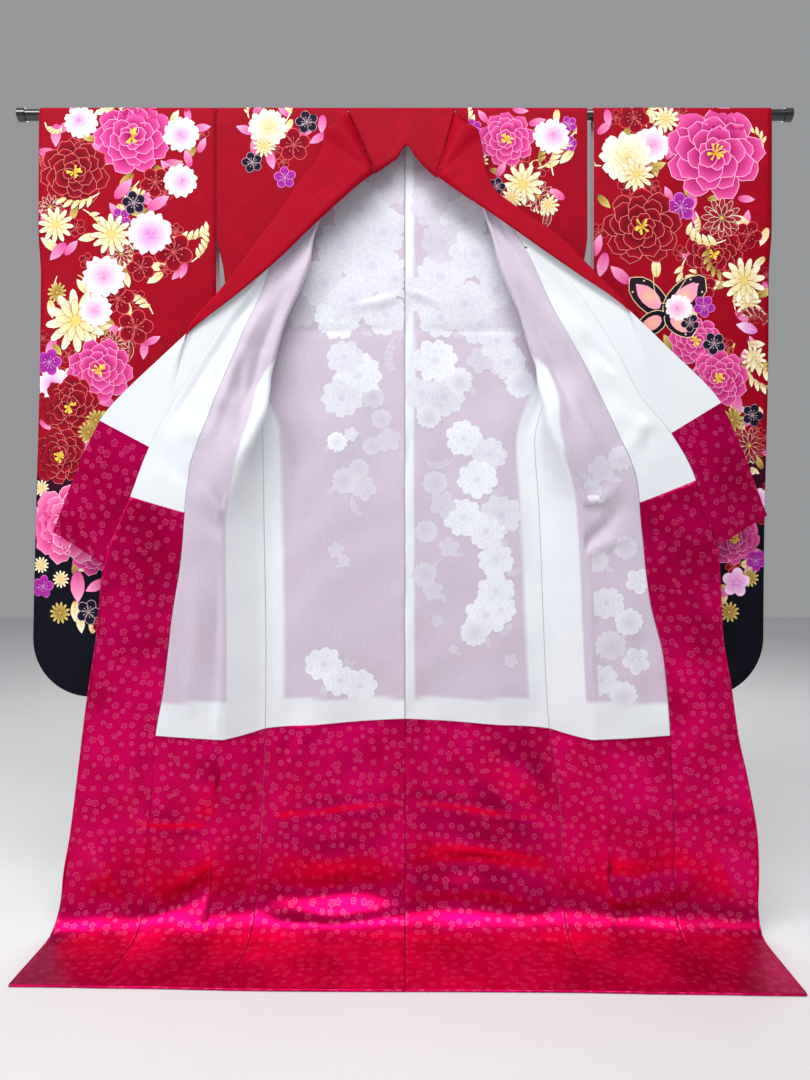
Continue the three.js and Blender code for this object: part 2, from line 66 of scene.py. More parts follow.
# Tables of [drop, distance from the centre back seam or degrees of turn], read off the photo.
# A collar row holds the seam's drop, the fold, the free edge, its depth and how far it is folded.
SIDES = {
    "left": {
        "sign": -1,
        "seam": [[-18, 338.5], [225, 338.5], [290, 327], [360, 325], [450, 300], [520, 281],
                 [590, 264], [718, 262], [1000, 257], [1135, 258], [1266, 263], [1482, 276],
                 [1700, 282]],
        "run": [[-18, 197], [100, 190], [215, 158], [330, 115], [457, 42], [500, 22], [530, 16],
                [590, 22], [660, 36], [760, 50], [1700, 50]],
        "turn": [[-18, 180], [500, 180], [590, 105], [660, 65], [760, 35], [900, 28], [1200, 24],
                 [1380, 12], [1431, 6], [1541, 0], [1700, 0]],
        "frontEdge": [[75, 133], [156, 178], [225, 224], [255, 237], [300, 249], [423, 299],
                      [587, 362], [659, 386], [737, 395], [804, 401], [954, 423], [1047, 434],
                      [1139, 450], [1239, 459], [1432, 478], [1700, 490]],
        "okumiEdge": [[255, 241], [300, 262], [405, 332], [619, 459], [708, 493], [830, 539],
                      [954, 552], [1071, 570], [1214, 590], [1319, 606], [1413, 625],
                      [1541, 636], [1700, 636]],
        "tip": 255, "clip": 619, "collarEnd": 830, "okumiLining": [708, 737],
        "sleeveOuter": [[-18, 671], [400, 674], [800, 684], [1076, 690]],
        "hemDrop": [1686, 1672],
        "collar": [[-18, 100, 0, 52, 116, -20, 0], [0, 104, 2, 54, 118, -21, 0],
                   [30, 122, 26, 56, 120, -26, 0.8], [52, 144, 48, 58, 122, -28, 1],
                   [75, 149, 71, 60, 124, -31, 1], [110, 163, 103, 85, 143, -32, 1],
                   [156, 190, 135, 112, 168, -34, 1], [225, 219, 179, 172, 224, -36, 1],
                   [300, 270, 250, 225, 277, -39, 1], [405, 326, 327, 302, 344, -43, 1],
                   [480, 380, 391, 370, 398, -46, 1], [545, 435, 456, 435, 456, -46, 0],
                   [619, 547, 572, 547, 572, -46, 0], [830, 631, 771, 631, 771, -46, 0]],
    },
    "right": {
        "sign": 1,
        "seam": [[-18, 327.5], [225, 327.5], [290, 320], [360, 318], [440, 296], [520, 262],
                 [603, 241], [718, 248], [813, 252], [955, 257], [1125, 266], [1239, 283],
                 [1361, 290], [1700, 296]],
        "run": [[-18, 198], [100, 192], [184, 165], [278, 132], [382, 84], [440, 49], [480, 20],
                [510, 14], [560, 22], [620, 36], [730, 50], [1700, 50]],
        "turn": [[-18, 180], [470, 180], [550, 105], [620, 65], [730, 35], [900, 28], [1200, 24],
                 [1380, 12], [1431, 6], [1541, 0], [1700, 0]],
        "frontEdge": [[90, 118], [150, 147], [205, 186], [255, 218], [300, 240], [374, 272],
                      [478, 328], [583, 377], [682, 416], [766, 425], [893, 440], [991, 464],
                      [1085, 475], [1239, 484], [1432, 494], [1700, 500]],
        "okumiEdge": [[255, 224], [300, 285], [370, 336], [450, 384], [525, 422], [594, 478],
                      [679, 522], [733, 533], [797, 560], [954, 569], [1038, 583], [1146, 600],
                      [1216, 617], [1338, 640], [1432, 646], [1541, 638], [1700, 632]],
        "tip": 255, "clip": 594, "collarEnd": 797, "okumiLining": [679, 719],
        "sleeveOuter": [[-18, 673], [400, 672], [800, 664], [1076, 662]],
        "hemDrop": [1686, 1698],
        "collar": [[-18, 90, 0, 56, 124, -20, 0], [0, 93, 2, 57, 125, -21, 0],
                   [30, 110, 26, 58, 126, -26, 0.8], [52, 132, 48, 59, 127, -28, 1],
                   [75, 138, 71, 61, 129, -31, 1], [110, 144, 102, 80, 143, -32, 1],
                   [156, 160, 146, 108, 163, -34, 1], [225, 205, 184, 178, 211, -36, 1],
                   [300, 281, 239, 258, 269, -39, 1], [370, 335, 295, 318, 312, -43, 1],
                   [450, 388, 351, 380, 356, -46, 1], [530, 470, 440, 470, 440, -46, 0],
                   [594, 566, 540, 566, 540, -46, 0], [797, 649, 742, 649, 742, -46, 0]],
    },
}
# Tables of [drop, value]: depths of the back, of the open front and of its edge, and the skirt's wave.
BACK_Y = [[0, BODY_DEPTH], [200, 12], [500, 9], [800, 5], [1100, 2], [1400, 0], [1700, 0]]
FLAP_Y = [[75, -24.5], [225, -25], [300, -27], [400, -31], [500, -37], [600, -45], [700, -46],
          [800, -43], [1076, -38], [1300, -26], [1431, -12], [1541, 0], [1700, 0]]
EDGE_Y = [[75, -24.5], [225, -26], [300, -30], [405, -35], [480, -40], [619, -44], [830, -46],
          [1076, -42], [1300, -30], [1431, -14], [1541, 0], [1700, 0]]
SKIRT_WAVE = [[0, 0], [700, 0], [1100, 5], [1300, 7], [1431, 3], [1541, 0], [1700, 0]]
LINING_HEM = [[0, 1117], [0.5, 1125], [1, 1134], [1.5, 1148], [2, 1139]]
NECK_ROWS = [[-103.7, -53, 117], [-70, -34, 104], [-36, -15, 90], [0, 3, 66], [34, 20, 88],
             [64, 38, 108], [91.6, 56, 125]]
NECK_FREE_Y = -21.0


# ---------------------------------------------------------------- curves
def along(table, at, column=1):
    """A smooth curve through table rows that never overshoots them."""
    last = len(table) - 1
    if at <= table[0][0]:
        return table[0][column]
    if at >= table[last][0]:
        return table[last][column]
    i = next(k for k, row in enumerate(table) if row[0] > at) - 1

    def slope(k):
        if k < 0 or k >= last:
            return 0.0
        return (table[k + 1][column] - table[k][column]) / (table[k + 1][0] - table[k][0])

    def tangent(k):
        before, after = slope(k - 1), slope(k)
        if k == 0:
            return after
        if k == last:
            return before
        return 0.0 if before * after <= 0 else 2 * before * after / (before + after)

    span = table[i + 1][0] - table[i][0]
    t = (at - table[i][0]) / span
    start = (1 + 2 * t) * (1 - t) ** 2 * table[i][column] + t * (1 - t) ** 2 * span * tangent(i)
    end = t * t * (3 - 2 * t) * table[i + 1][column] + t * t * (t - 1) * span * tangent(i + 1)
    return start + end


DROPS = np.arange(-60.0, 1761.0)


def curve(table, drop):
    """along() for a whole array of drops."""
    key = id(table)
    if key not in CURVES:
        CURVES[key] = np.array([along(table, d) for d in DROPS])
    return np.interp(drop, DROPS, CURVES[key])


CURVES = {}


def mix(low, high, share):
    return low + (high - low) * share


def smooth(low, high, at):
    t = np.clip((at - low) / (high - low), 0, 1)
    return t * t * (3 - 2 * t)


def arc(a, y, length, start, end):
    """Moves a pen along an arc in plan: a is lateral, y is depth, heading 0 points outward."""
    sweep = end - start
    straight = np.abs(sweep) < 1e-6
    radius = length / np.where(straight, 1.0, sweep)
    step_a = np.where(straight, length * np.cos(start), radius * (np.sin(end) - np.sin(start)))
    step_y = np.where(straight, length * np.sin(start), radius * (np.cos(start) - np.cos(end)))
    return a + step_a, y - step_y


def wrap_depth(drop):
    """Depth of the cloth from the rod's axis: positive in front, negative once it hangs behind."""
    behind = drop < -HALF_WRAP
    near = np.where(behind, -HALF_WRAP - drop, drop)
    over = ROD_WRAP * np.cos(np.clip(-near, 0, HALF_WRAP) / ROD_WRAP)
    below = mix(ROD_WRAP, BODY_DEPTH, smooth(0, 30, near))
    return np.where(near < 0, over, below) * np.where(behind, -1, 1)


def fall(drop):
    """Depth and height of the cloth length `drop`."""
    over = ROD_WRAP * np.sin(np.clip(-drop, 0, HALF_WRAP) / ROD_WRAP)
    angle = np.clip(drop - BEND_START, 0, BEND_END - BEND_START) / FLOOR_BEND
    y = -FLOOR_BEND * (1 - np.cos(angle)) - np.maximum(0, drop - BEND_END)
    z = -np.clip(drop, 0, BEND_START) - FLOOR_BEND * np.sin(angle) + over
    return y, z + np.minimum(0, drop + HALF_WRAP)


# ---------------------------------------------------------------- the body's surface
def body_points(side, place, drop):
    """Points of the body cloth for arrays of place and drop: 0 centre back, 1 side seam,
    2 far edge of the front panel, 3 edge of the okumi."""
    turn = np.radians(curve(side["turn"], drop))
    half = np.maximum(turn / 2, 1e-6)
    full = 2 * half
    closed = smooth(250, 370, drop)
    back_y = np.where(drop < 30, wrap_depth(drop), curve(BACK_Y, drop))
    seam_a = curve(side["seam"], drop) - SEAM_TURN * np.sin(half) / half
    # back panel
    share = np.clip(place / 0.9, 0, 1)
    wave = curve(SKIRT_WAVE, drop) * np.sin(2 * math.pi * share) * smooth(0, 0.3, 1 - share)
    bend = np.clip((place - 0.9) / 0.1, 0, 1)
    bend_a, bend_y = arc(seam_a, back_y, SEAM_TURN * bend, 0 * half, closed * half * bend)
    a = np.where(place <= 0.9, seam_a * share, bend_a)
    y = np.where(place <= 0.9, back_y + wave, bend_y)
    # front panel up to its turn back
    wrap_share = np.where(drop < 30, wrap_depth(drop) / BODY_DEPTH, 1.0)
    turned_a, turned_y = arc(seam_a, 0, 2 * SEAM_TURN, 0 * half, full)
    hidden_y = back_y + turned_y * wrap_share
    run = curve(side["run"], drop)
    end_a, end_y = arc(turned_a, hidden_y, run, full, full)
    heading = full * (1 - smooth(-5, 65, drop))
    flap_a, flap_y = arc(end_a, end_y, FOLD_TURN, full, heading)
    share = np.clip((1.15 - place) / 0.15, 0, 1)
    in_a, in_y = arc(0, 0, SEAM_TURN * share, full - closed * half * share, full)
    run_share = np.clip((place - 1.15) / 0.25, 0, 1)
    run_a, run_y = arc(turned_a, hidden_y, run * run_share, full, full)
    share = np.clip((place - 1.4) / 0.2, 0, 1)
    fold_a, fold_y = arc(end_a, end_y, FOLD_TURN * share, full, mix(full, heading, share))
    reach = np.where(drop < 100, mix(6.0, 12.0, np.clip(drop, 0, 100) / 100),
                     np.maximum(12, curve(side["frontEdge"], drop) - flap_a))
    far_a, far_y = arc(flap_a, flap_y, reach, heading, heading)
    edge_y = mix(far_y, curve(FLAP_Y, drop), smooth(100, 200, drop))
    share = np.clip((place - 1.6) / 0.4, 0, 1)
    lie_a, lie_y = arc(flap_a, flap_y, reach * share, heading, heading)
    lie_y = lie_y + (edge_y - far_y) * smooth(0, 1, share)
    share = np.clip(place - 2, 0, 1)
    okumi_a = mix(far_a, curve(side["okumiEdge"], drop), share)
    okumi_y = mix(edge_y, curve(EDGE_Y, drop), smooth(0, 1, share))
    for limit, part_a, part_y in (
        (1, turned_a - in_a, hidden_y - in_y),
        (1.15, run_a, run_y),
        (1.4, fold_a, fold_y),
        (1.6, lie_a, lie_y),
        (2, okumi_a, okumi_y),
    ):
        a = np.where(place > limit, part_a, a)
        y = np.where(place > limit, part_y, y)
    down_y, down_z = fall(drop)
    return np.stack([side["sign"] * a, y + down_y, down_z], axis=-1)


def hem_drop(side, place):
    """Drop of the garment's hem at a place."""
    return mix(side["hemDrop"][0], side["hemDrop"][1], smooth(0, 3, place))


def lining_hem(side, place):
    """Drop at which the upper lining meets the hem lining."""
    return np.array([along(LINING_HEM, p) for p in np.atleast_1d(place)])


def okumi_split(side, place):
    """The same drop on the okumi, where it follows the slant of the collar."""
    return mix(side["okumiLining"][1], side["okumiLining"][0], place - 2)


def normals(points, sign):
    """Unit normals of a grid of points."""
    down, across = np.gradient(points, axis=(0, 1))
    normal = np.cross(across, down) * sign
    return normal / np.maximum(np.linalg.norm(normal, axis=-1, keepdims=True), 1e-9)


# ---------------------------------------------------------------- creases
# Each crease: its points (lateral, drop), half width, height. A positive height rises toward the
# garment's inner face, which is the face that shows on the back and on the open fronts.
CREASES = {
    ("left", "back"): [
        ([(90, 352), (50, 344), (8, 330)], 8, 3.5),
        ([(4, 394), (150, 396), (290, 392)], 8, -2),
        ([(4, 1280), (130, 1292), (250, 1304)], 8, -3.5),
        ([(4, 1266), (130, 1276), (250, 1290)], 9, 4),
        ([(10, 1214), (24, 1232)], 9, 4),
        ([(200, 470), (150, 620), (120, 740)], 34, 5),
        ([(236, 560), (214, 640), (206, 740)], 12, -4),
        ([(60, 430), (48, 560), (40, 700)], 26, -4),
        ([(20, 880), (6, 900)], 7, 3),
        ([(236, 860), (248, 872)], 7, -3),
        ([(232, 900), (248, 912)], 7, 3),
        ([(234, 960), (248, 975)], 7, -2.5),
        ([(177, 1150), (212, 1220), (254, 1291)], 26, 9),
        ([(120, 1180), (170, 1270), (230, 1330)], 22, -6),
        ([(20, 1356), (130, 1372), (240, 1352)], 26, 7),
        ([(262, 1420), (140, 1432), (4, 1416)], 20, -8),
        ([(266, 1462), (140, 1474), (4, 1462)], 15, 8),
    ],
    ("right", "back"): [
        ([(8, 322), (40, 334), (62, 348)], 7, 3),
        ([(4, 394), (150, 396), (290, 392)], 8, -2),
        ([(8, 1280), (130, 1292), (250, 1306)], 8, -3.5),
        ([(8, 1266), (130, 1278), (250, 1292)], 9, 4),
        ([(206, 470), (176, 620), (150, 760)], 30, 5),
        ([(60, 430), (80, 560), (70, 700)], 26, -4),
        ([(232, 880), (246, 890)], 7, 3),
        ([(230, 930), (246, 945)], 7, -3),
        ([(169, 1176), (215, 1206), (265, 1256)], 24, 9),
        ([(110, 1200), (180, 1260), (240, 1330)], 22, -6),
        ([(20, 1330), (120, 1346), (250, 1362)], 26, 8),
        ([(4, 1396), (140, 1380), (270, 1404)], 20, -8),
        ([(4, 1438), (140, 1428), (270, 1450)], 16, 9),
    ],
    ("left", "flap"): [
        ([(362, 690), (336, 730), (306, 782)], 9, 7),
        ([(340, 700), (318, 742), (300, 790)], 7, -7),
        ([(372, 730), (340, 770), (308, 800)], 10, -5),
        ([(330, 840), (340, 960), (348, 1100)], 14, -5),
        ([(218, 330), (262, 440), (300, 600)], 10, -6),
        ([(150, 190), (262, 322), (400, 436), (560, 600)], 34, -11),
        ([(234, 437), (300, 430), (330, 422)], 8, -2),
        ([(470, 560), (420, 590), (380, 640)], 14, 5),
        ([(560, 640), (500, 640), (450, 670)], 14, 5),
        ([(340, 1316), (420, 1312), (500, 1306)], 8, -3.5),
        ([(340, 1302), (420, 1298), (500, 1292)], 9, 4),
        ([(262, 370), (310, 480), (350, 600)], 10, 6),
        ([(330, 420), (376, 500), (440, 600)], 9, -5),
        ([(372, 850), (380, 980), (392, 1090)], 16, 4),
        ([(369, 505), (345, 530), (300, 552)], 18, 6),
        ([(420, 560), (390, 590), (356, 610)], 16, 5),
        ([(440, 620), (410, 660), (372, 690)], 15, -4),
        ([(296, 420), (300, 480), (296, 560)], 10, -4),
        ([(500, 640), (530, 690), (560, 740)], 15, 4),
        ([(311, 1184), (345, 1215), (385, 1249)], 24, 10),
        ([(300, 1250), (340, 1290), (400, 1310)], 18, -6),
        ([(283, 1342), (370, 1420), (450, 1478)], 22, -10),
        ([(283, 1400), (330, 1446), (380, 1490)], 20, 8),
        ([(470, 1190), (486, 1230), (480, 1290)], 14, 5),
        ([(520, 1210), (500, 1300), (520, 1400)], 20, -5),
        ([(560, 1330), (540, 1400), (500, 1450)], 18, 6),
    ],
    ("right", "flap"): [
        ([(280, 620), (296, 680), (322, 716), (352, 716), (378, 690)], 9, 9),
        ([(262, 640), (272, 720), (300, 770)], 10, -6),
        ([(212, 330), (262, 440), (300, 560)], 10, -6),
        ([(140, 190), (268, 306), (400, 410), (580, 580)], 34, -11),
        ([(480, 540), (430, 580), (390, 640)], 14, 5),
        ([(262, 370), (312, 460), (352, 560)], 10, 6),
        ([(330, 420), (390, 500), (440, 600)], 9, -5),
        ([(296, 812), (330, 790), (362, 762), (388, 728)], 13, -10),
        ([(300, 540), (336, 610), (372, 660)], 12, 4),
        ([(300, 826), (350, 800), (400, 780)], 8, 4),
        ([(360, 470), (400, 500), (440, 506)], 16, 6),
        ([(330, 430), (372, 470), (420, 478)], 10, -4),
        ([(396, 560), (430, 580), (470, 580)], 14, 5),
        ([(420, 900), (432, 1000), (452, 1100)], 18, -4),
        ([(500, 860), (520, 980), (540, 1090)], 22, 5),
        ([(330, 880), (322, 980), (330, 1090)], 16, 4),
        ([(470, 1283), (540, 1273), (612, 1260)], 9, -4),
        ([(300, 1330), (336, 1392), (420, 1404), (500, 1384)], 19, -9),
        ([(292, 1371), (330, 1432), (400, 1446), (508, 1424)], 17, 10),
        ([(560, 1320), (590, 1400), (620, 1450)], 18, 5),
        ([(420, 1170), (460, 1230), (470, 1300)], 22, 5),
    ],
}


def crease_height(creases, a, drop):
    """Sum of soft ridges and troughs at points (a, drop), on a slight unevenness of the cloth."""
    height = 1.7 * np.sin(a / 33 + 1.7 * np.sin(drop / 83)) * np.sin(drop / 26 + 1.4 * np.sin(a / 57))
    for points, width, rise in creases:
        lengths = [math.dist(p, q) for p, q in zip(points, points[1:])]
        total, before = sum(lengths), 0.0
        nearest = np.full(drop.shape, 1e9)
        share = np.zeros_like(drop)
        for (a0, d0), (a1, d1), length in zip(points, points[1:], lengths):
            run_a, run_d = (a1 - a0) / length, (d1 - d0) / length
            at = np.clip((a - a0) * run_a + (drop - d0) * run_d, 0, length)
            off = np.hypot(a - a0 - at * run_a, drop - d0 - at * run_d)
            closer = off < nearest
            nearest = np.where(closer, off, nearest)
            share = np.where(closer, (before + at) / total, share)
            before += length
        taper = np.sin(np.clip(0.08 + 0.84 * share, 0, 1) * math.pi) ** 0.8
        height += rise * taper * np.exp(-((nearest / width) ** 2))
    return height


def crease_lift(name, side, a, place, drop):
    """How far the creases bring the cloth forward. They fade out at folds, seams and the floor."""
    calm = smooth(20, 90, drop) * (1 - smooth(BEND_END - 60, BEND_END + 20, drop))
    back = (1 - smooth(0.82, 0.94, place)) * smooth(0, 0.02, place)
    tip, end = side["tip"], side["collarEnd"]
    beside_tip = np.maximum(smooth(0, 0.2, 2 - place), smooth(tip - 10, tip + 150, drop))
    beside_collar = np.maximum(smooth(0, 0.6, 3 - place), smooth(end - 10, end + 60, drop))
    flap = smooth(1.5, 1.62, place) * beside_tip * beside_collar
    return calm * (back * crease_height(CREASES[name, "back"], a, drop)
                   + flap * crease_height(CREASES[name, "flap"], a, drop))


def creased(name, side, points, place, drop):
    """Adds the creases of the back or of the open front to a grid of body points."""
    points = points.copy()
    points[..., 1] -= crease_lift(name, side, np.abs(points[..., 0]), place, drop)
    return points


# ---------------------------------------------------------------- meshes
def spread(start, end, step):
    """Numbers from start to end, no further apart than step."""
    count = max(1, math.ceil(abs(end - start) / step - 1e-9))
    return list(np.linspace(start, end, count + 1))


def joined(*runs):
    out = []
    for run in runs:
        out += [v for v in run if not out or v > out[-1] + 1e-9]
    return np.array(out)


def paint_vertices(mesh, tints):
    """Stores one linear colour for each vertex."""
    mesh.color_attributes.new("Tint", "FLOAT_COLOR", "POINT")
    rgba = np.concatenate([tints, np.ones((len(tints), 1))], 1)
    mesh.color_attributes["Tint"].data.foreach_set("color", rgba.ravel())


def grid_mesh(name, layers, uv, colours, materials):
    """One sheet (one layer of points) or a thin shell (two layers) from grids of points in mm."""
    rows, columns = layers[0].shape[:2]
    count = rows * columns
    index = np.arange(count).reshape(rows, columns)
    a, b = index[:-1, :-1].ravel(), index[:-1, 1:].ravel()
    c, d = index[1:, 1:].ravel(), index[1:, :-1].ravel()
    faces = [np.stack([a, b, c, d], 1)]
    slots = [np.zeros(len(a), int)]
    if len(layers) == 2:
        faces.append(np.stack([a, d, c, b], 1) + count)
        slots.append(np.full(len(a), len(materials) - 1))
        rim = np.concatenate([index[0, :-1], index[:-1, -1], index[-1, :0:-1], index[:0:-1, 0]])
        after = np.roll(rim, -1)
        faces.append(np.stack([after, rim, rim + count, after + count], 1))
        slots.append(np.zeros(len(rim), int))
    vertices = np.concatenate([layer.reshape(-1, 3) for layer in layers]) * 0.001
    faces = np.concatenate(faces)
    mesh = bpy.data.meshes.new(name)
    mesh.from_pydata(vertices, [], faces.tolist())
    mesh.polygons.foreach_set("material_index", np.concatenate(slots))
    mesh.shade_smooth()
    coords = np.concatenate([uv.reshape(-1, 2)] * len(layers)) * 0.001 + [0.37 * len(name), 0]
    layer = mesh.uv_layers.new(name="UVMap")
    layer.data.foreach_set("uv", coords[faces.ravel()].ravel())
    if colours is not None:
        tints = colours if isinstance(colours, list) else [colours] * len(layers)
        paint_vertices(mesh, np.concatenate([tint.reshape(-1, 3) for tint in tints]))
    for material in materials:
        mesh.materials.append(material)
    return add(name, mesh)


def add(name, mesh):
    obj = bpy.data.objects.new(name, mesh)
    bpy.context.scene.collection.objects.link(obj)
    return obj


def flat_coordinates(points, drop):
    """Length across the cloth and length down it."""
    across = np.linalg.norm(np.diff(points, axis=1), axis=-1)
    across = np.concatenate([np.zeros((len(points), 1)), np.cumsum(across, axis=1)], 1)
    return np.stack([across, drop], axis=-1)


def linear_all(colours):
    """sRGB from 0 to 255 as linear colour."""
    value = np.clip(np.asarray(colours, float) / 255, 0, 1)
    return np.where(value <= 0.04045, value / 12.92, ((value + 0.055) / 1.055) ** 2.4)


def linear(red, green, blue):
    return linear_all([red, green, blue])


# ---------------------------------------------------------------- materials
class Nodes:
    """Short calls for one material's node tree."""

    def __init__(self, name):
        self.material = bpy.data.materials.new(name)
        self.material.use_nodes = True
        self.tree = self.material.node_tree
        self.shader = self.tree.nodes["Principled BSDF"]

    def node(self, kind, **values):
        node = self.tree.nodes.new(kind)
        for key, value in values.items():
            setattr(node, key, value)
        return node

    def feed(self, socket, value):
        if isinstance(value, bpy.types.NodeSocket):
            self.tree.links.new(value, socket)
        else:
            socket.default_value = value

    def math(self, operation, *values):
        node = self.node("ShaderNodeMath", operation=operation)
        for socket, value in zip(node.inputs, values):
            self.feed(socket, value)
        return node.outputs[0]

    def vector(self, operation, *values):
        node = self.node("ShaderNodeVectorMath", operation=operation)
        sockets = node.inputs
        for socket, value in zip(sockets, values):
            self.feed(socket, value)
        return node.outputs["Value" if operation in ("LENGTH", "DOT_PRODUCT") else "Vector"]

    def scaled(self, vector, factor):
        node = self.node("ShaderNodeVectorMath", operation="SCALE")
        self.feed(node.inputs[0], vector)
        node.inputs["Scale"].default_value = factor
        return node.outputs["Vector"]

    def blend(self, share, low, high, mode="MIX"):
        node = self.node("ShaderNodeMix", data_type="RGBA", blend_type=mode)
        self.feed(node.inputs["Factor"], share)
        self.feed(node.inputs["A"], low)
        self.feed(node.inputs["B"], high)
        return node.outputs["Result"]

    def range(self, value, low, high, to_low=0.0, to_high=1.0):
        node = self.node("ShaderNodeMapRange", interpolation_type="SMOOTHSTEP")
        for socket, number in zip(node.inputs, (value, low, high, to_low, to_high)):
            self.feed(socket, number)
        return node.outputs["Result"]

    def noise(self, vector, scale, detail=2.0, stretch=(1, 1, 1)):
        mapping = self.node("ShaderNodeMapping")
        mapping.inputs["Scale"].default_value = stretch
        self.feed(mapping.inputs["Vector"], vector)
        node = self.node("ShaderNodeTexNoise")
        self.feed(node.inputs["Vector"], mapping.outputs["Vector"])
        node.inputs["Scale"].default_value = scale
        node.inputs["Detail"].default_value = detail
        return node.outputs["Fac"]

    def bump(self, height, distance, strength=1.0, normal=None):
        node = self.node("ShaderNodeBump")
        node.inputs["Strength"].default_value = strength
        node.inputs["Distance"].default_value = distance
        self.feed(node.inputs["Height"], height)
        if normal is not None:
            self.feed(node.inputs["Normal"], normal)
        return node.outputs["Normal"]

    def uv(self):
        return self.node("ShaderNodeUVMap", uv_map="UVMap").outputs["UV"]

    def tint(self):
        return self.node("ShaderNodeVertexColor", layer_name="Tint").outputs["Color"]

    def set(self, **values):
        for key, value in values.items():
            self.feed(self.shader.inputs[key.replace("_", " ")], value)


def weave(n, uv, threads, depth):
    """Plain weave: two crossed waves of threads to the metre."""
    turns = threads * 2 * math.pi
    split = n.node("ShaderNodeSeparateXYZ")
    n.feed(split.inputs[0], uv)
    warp = n.math("SINE", n.math("MULTIPLY", split.outputs[0], turns))
    weft = n.math("SINE", n.math("MULTIPLY", split.outputs[1], turns))
    return n.bump(n.math("MULTIPLY", warp, weft), depth)


def blossoms(n, uv, pitch, radius):
    """Scattered five-petalled blossoms: their outlines and hearts, and their filled petals."""
    cells = n.node("ShaderNodeTexVoronoi", feature="F1", voronoi_dimensions="2D")
    n.feed(cells.inputs["Vector"], uv)
    cells.inputs["Scale"].default_value = 1 / pitch
    cells.inputs["Randomness"].default_value = 0.8
    local = n.node("ShaderNodeSeparateXYZ")
    n.feed(local.inputs[0], n.vector("SUBTRACT", uv, cells.outputs["Position"]))
    x, y = local.outputs[0], local.outputs[1]
    reach = n.math("SQRT", n.math("ADD", n.math("MULTIPLY", x, x), n.math("MULTIPLY", y, y)))
    chance = n.node("ShaderNodeSeparateXYZ")
    n.feed(chance.inputs[0], cells.outputs["Color"])
    turn = n.math("ADD", n.math("ARCTAN2", y, x), n.math("MULTIPLY", chance.outputs[0], 6.28))
    petal = n.math("ABSOLUTE", n.math("COSINE", n.math("MULTIPLY", turn, 2.5)))
    size = n.math("ADD", n.math("MULTIPLY", chance.outputs[1], 0.45 * radius), 0.65 * radius)
    rim = n.math("MULTIPLY", size, n.math("ADD", n.math("MULTIPLY", petal, 0.38), 0.62))
    line = radius * 0.16
    outline = n.range(n.math("ABSOLUTE", n.math("SUBTRACT", reach, rim)), line, line * 0.4)
    heart = n.range(reach, radius * 0.26, radius * 0.16)
    return n.math("MAXIMUM", outline, heart), n.range(n.math("SUBTRACT", reach, rim), line, 0.0)


def crepe(name, printed=False):
    """Silk crepe: its colour is painted on the vertices, with a fine grain and a faint damask."""
    n = Nodes(name)
    uv = n.uv() if not printed else n.node("ShaderNodeTexCoord").outputs["Object"]
    grain = n.noise(uv, 900, 3, (1, 0.45, 1))
    shade = n.tint()
    if not printed:
        outline, petals = blossoms(n, uv, 0.034, 0.013)
        figure = n.math("MULTIPLY", n.math("MAXIMUM", outline, n.math("MULTIPLY", petals, 0.5)),
                        n.range(n.noise(uv, 14, 2), 0.4, 0.65))
        shade = n.blend(n.math("MULTIPLY", figure, 0.3), shade, n.scaled(n.tint(), 1.7))
    shade = n.blend(n.range(grain, 0.45, 0.75, 0.0, 0.2), shade, n.scaled(n.tint(), 1.3))
    n.set(Base_Color=shade, Roughness=0.6, Normal=n.bump(grain, 0.00025, 0.5))
    n.shader.inputs["Specular IOR Level"].default_value = 0.07
    return n.material


def lining(name, printed=False):
    """Smooth silk lining with a faint self pattern."""
    n = Nodes(name)
    uv = n.uv() if not printed else n.node("ShaderNodeTexCoord").outputs["Object"]
    slub = n.noise(uv, 420, 2, (1, 0.12, 1))
    cloud = n.noise(uv, 7, 3)
    # The Tint attribute holds the lining's colours with painted shade along the seams.
    shade = n.blend(n.range(cloud, 0.35, 0.7, 0.0, 0.14), n.tint(), (0.45, 0.5, 0.6, 1))
    shade = n.blend(n.range(slub, 0.4, 0.7, 0.0, 0.06), shade, (1, 1, 1, 1))
    n.set(Base_Color=shade, Roughness=n.range(slub, 0.3, 0.7, 0.4, 0.5))
    if not printed:
        n.set(Normal=weave(n, uv, 1400, 0.00003))
    n.shader.inputs["Specular IOR Level"].default_value = 0.5
    return n.material


def satin(name):
    """Magenta satin of the hem lining, with small lighter blossoms."""
    n = Nodes(name)
    uv = n.uv()
    outline, petals = blossoms(n, uv, 0.0195, 0.0054)
    cloud = n.noise(uv, 9, 2)
    ground = n.blend(n.range(cloud, 0.3, 0.7), tuple(linear(186, 0, 70)) + (1,),
                     tuple(linear(214, 0, 94)) + (1,))
    shade = n.blend(n.math("MULTIPLY", petals, 0.03), ground, tuple(linear(246, 84, 150)) + (1,))
    shade = n.blend(n.math("MULTIPLY", outline, 0.3), shade, tuple(linear(255, 130, 180)) + (1,))
    # The Tint attribute multiplies in the painted shade along the seams.
    shade = n.blend(1.0, shade, n.tint(), "MULTIPLY")
    n.set(Base_Color=shade, Roughness=n.range(outline, 0, 1, 0.34, 0.46),
          Normal=weave(n, uv, 1200, 0.00002))
    n.shader.inputs["Metallic"].default_value = 0.85
    n.shader.inputs["Specular IOR Level"].default_value = 0.15
    return n.material


def lacquer(name):
    """Gloss black lacquer over wood, with fine dust in it."""
    n = Nodes(name)
    place = n.node("ShaderNodeTexCoord").outputs["Object"]
    dust = n.noise(place, 60, 4, (0.2, 1, 1))
    n.set(Base_Color=n.blend(dust, (0.004, 0.004, 0.005, 1), (0.012, 0.011, 0.012, 1)),
          Roughness=n.range(dust, 0.3, 0.8, 0.12, 0.3), Normal=n.bump(dust, 0.0002, 0.25))
    n.shader.inputs["Coat Weight"].default_value = 0.6
    n.shader.inputs["Coat Roughness"].default_value = 0.08
    return n.material


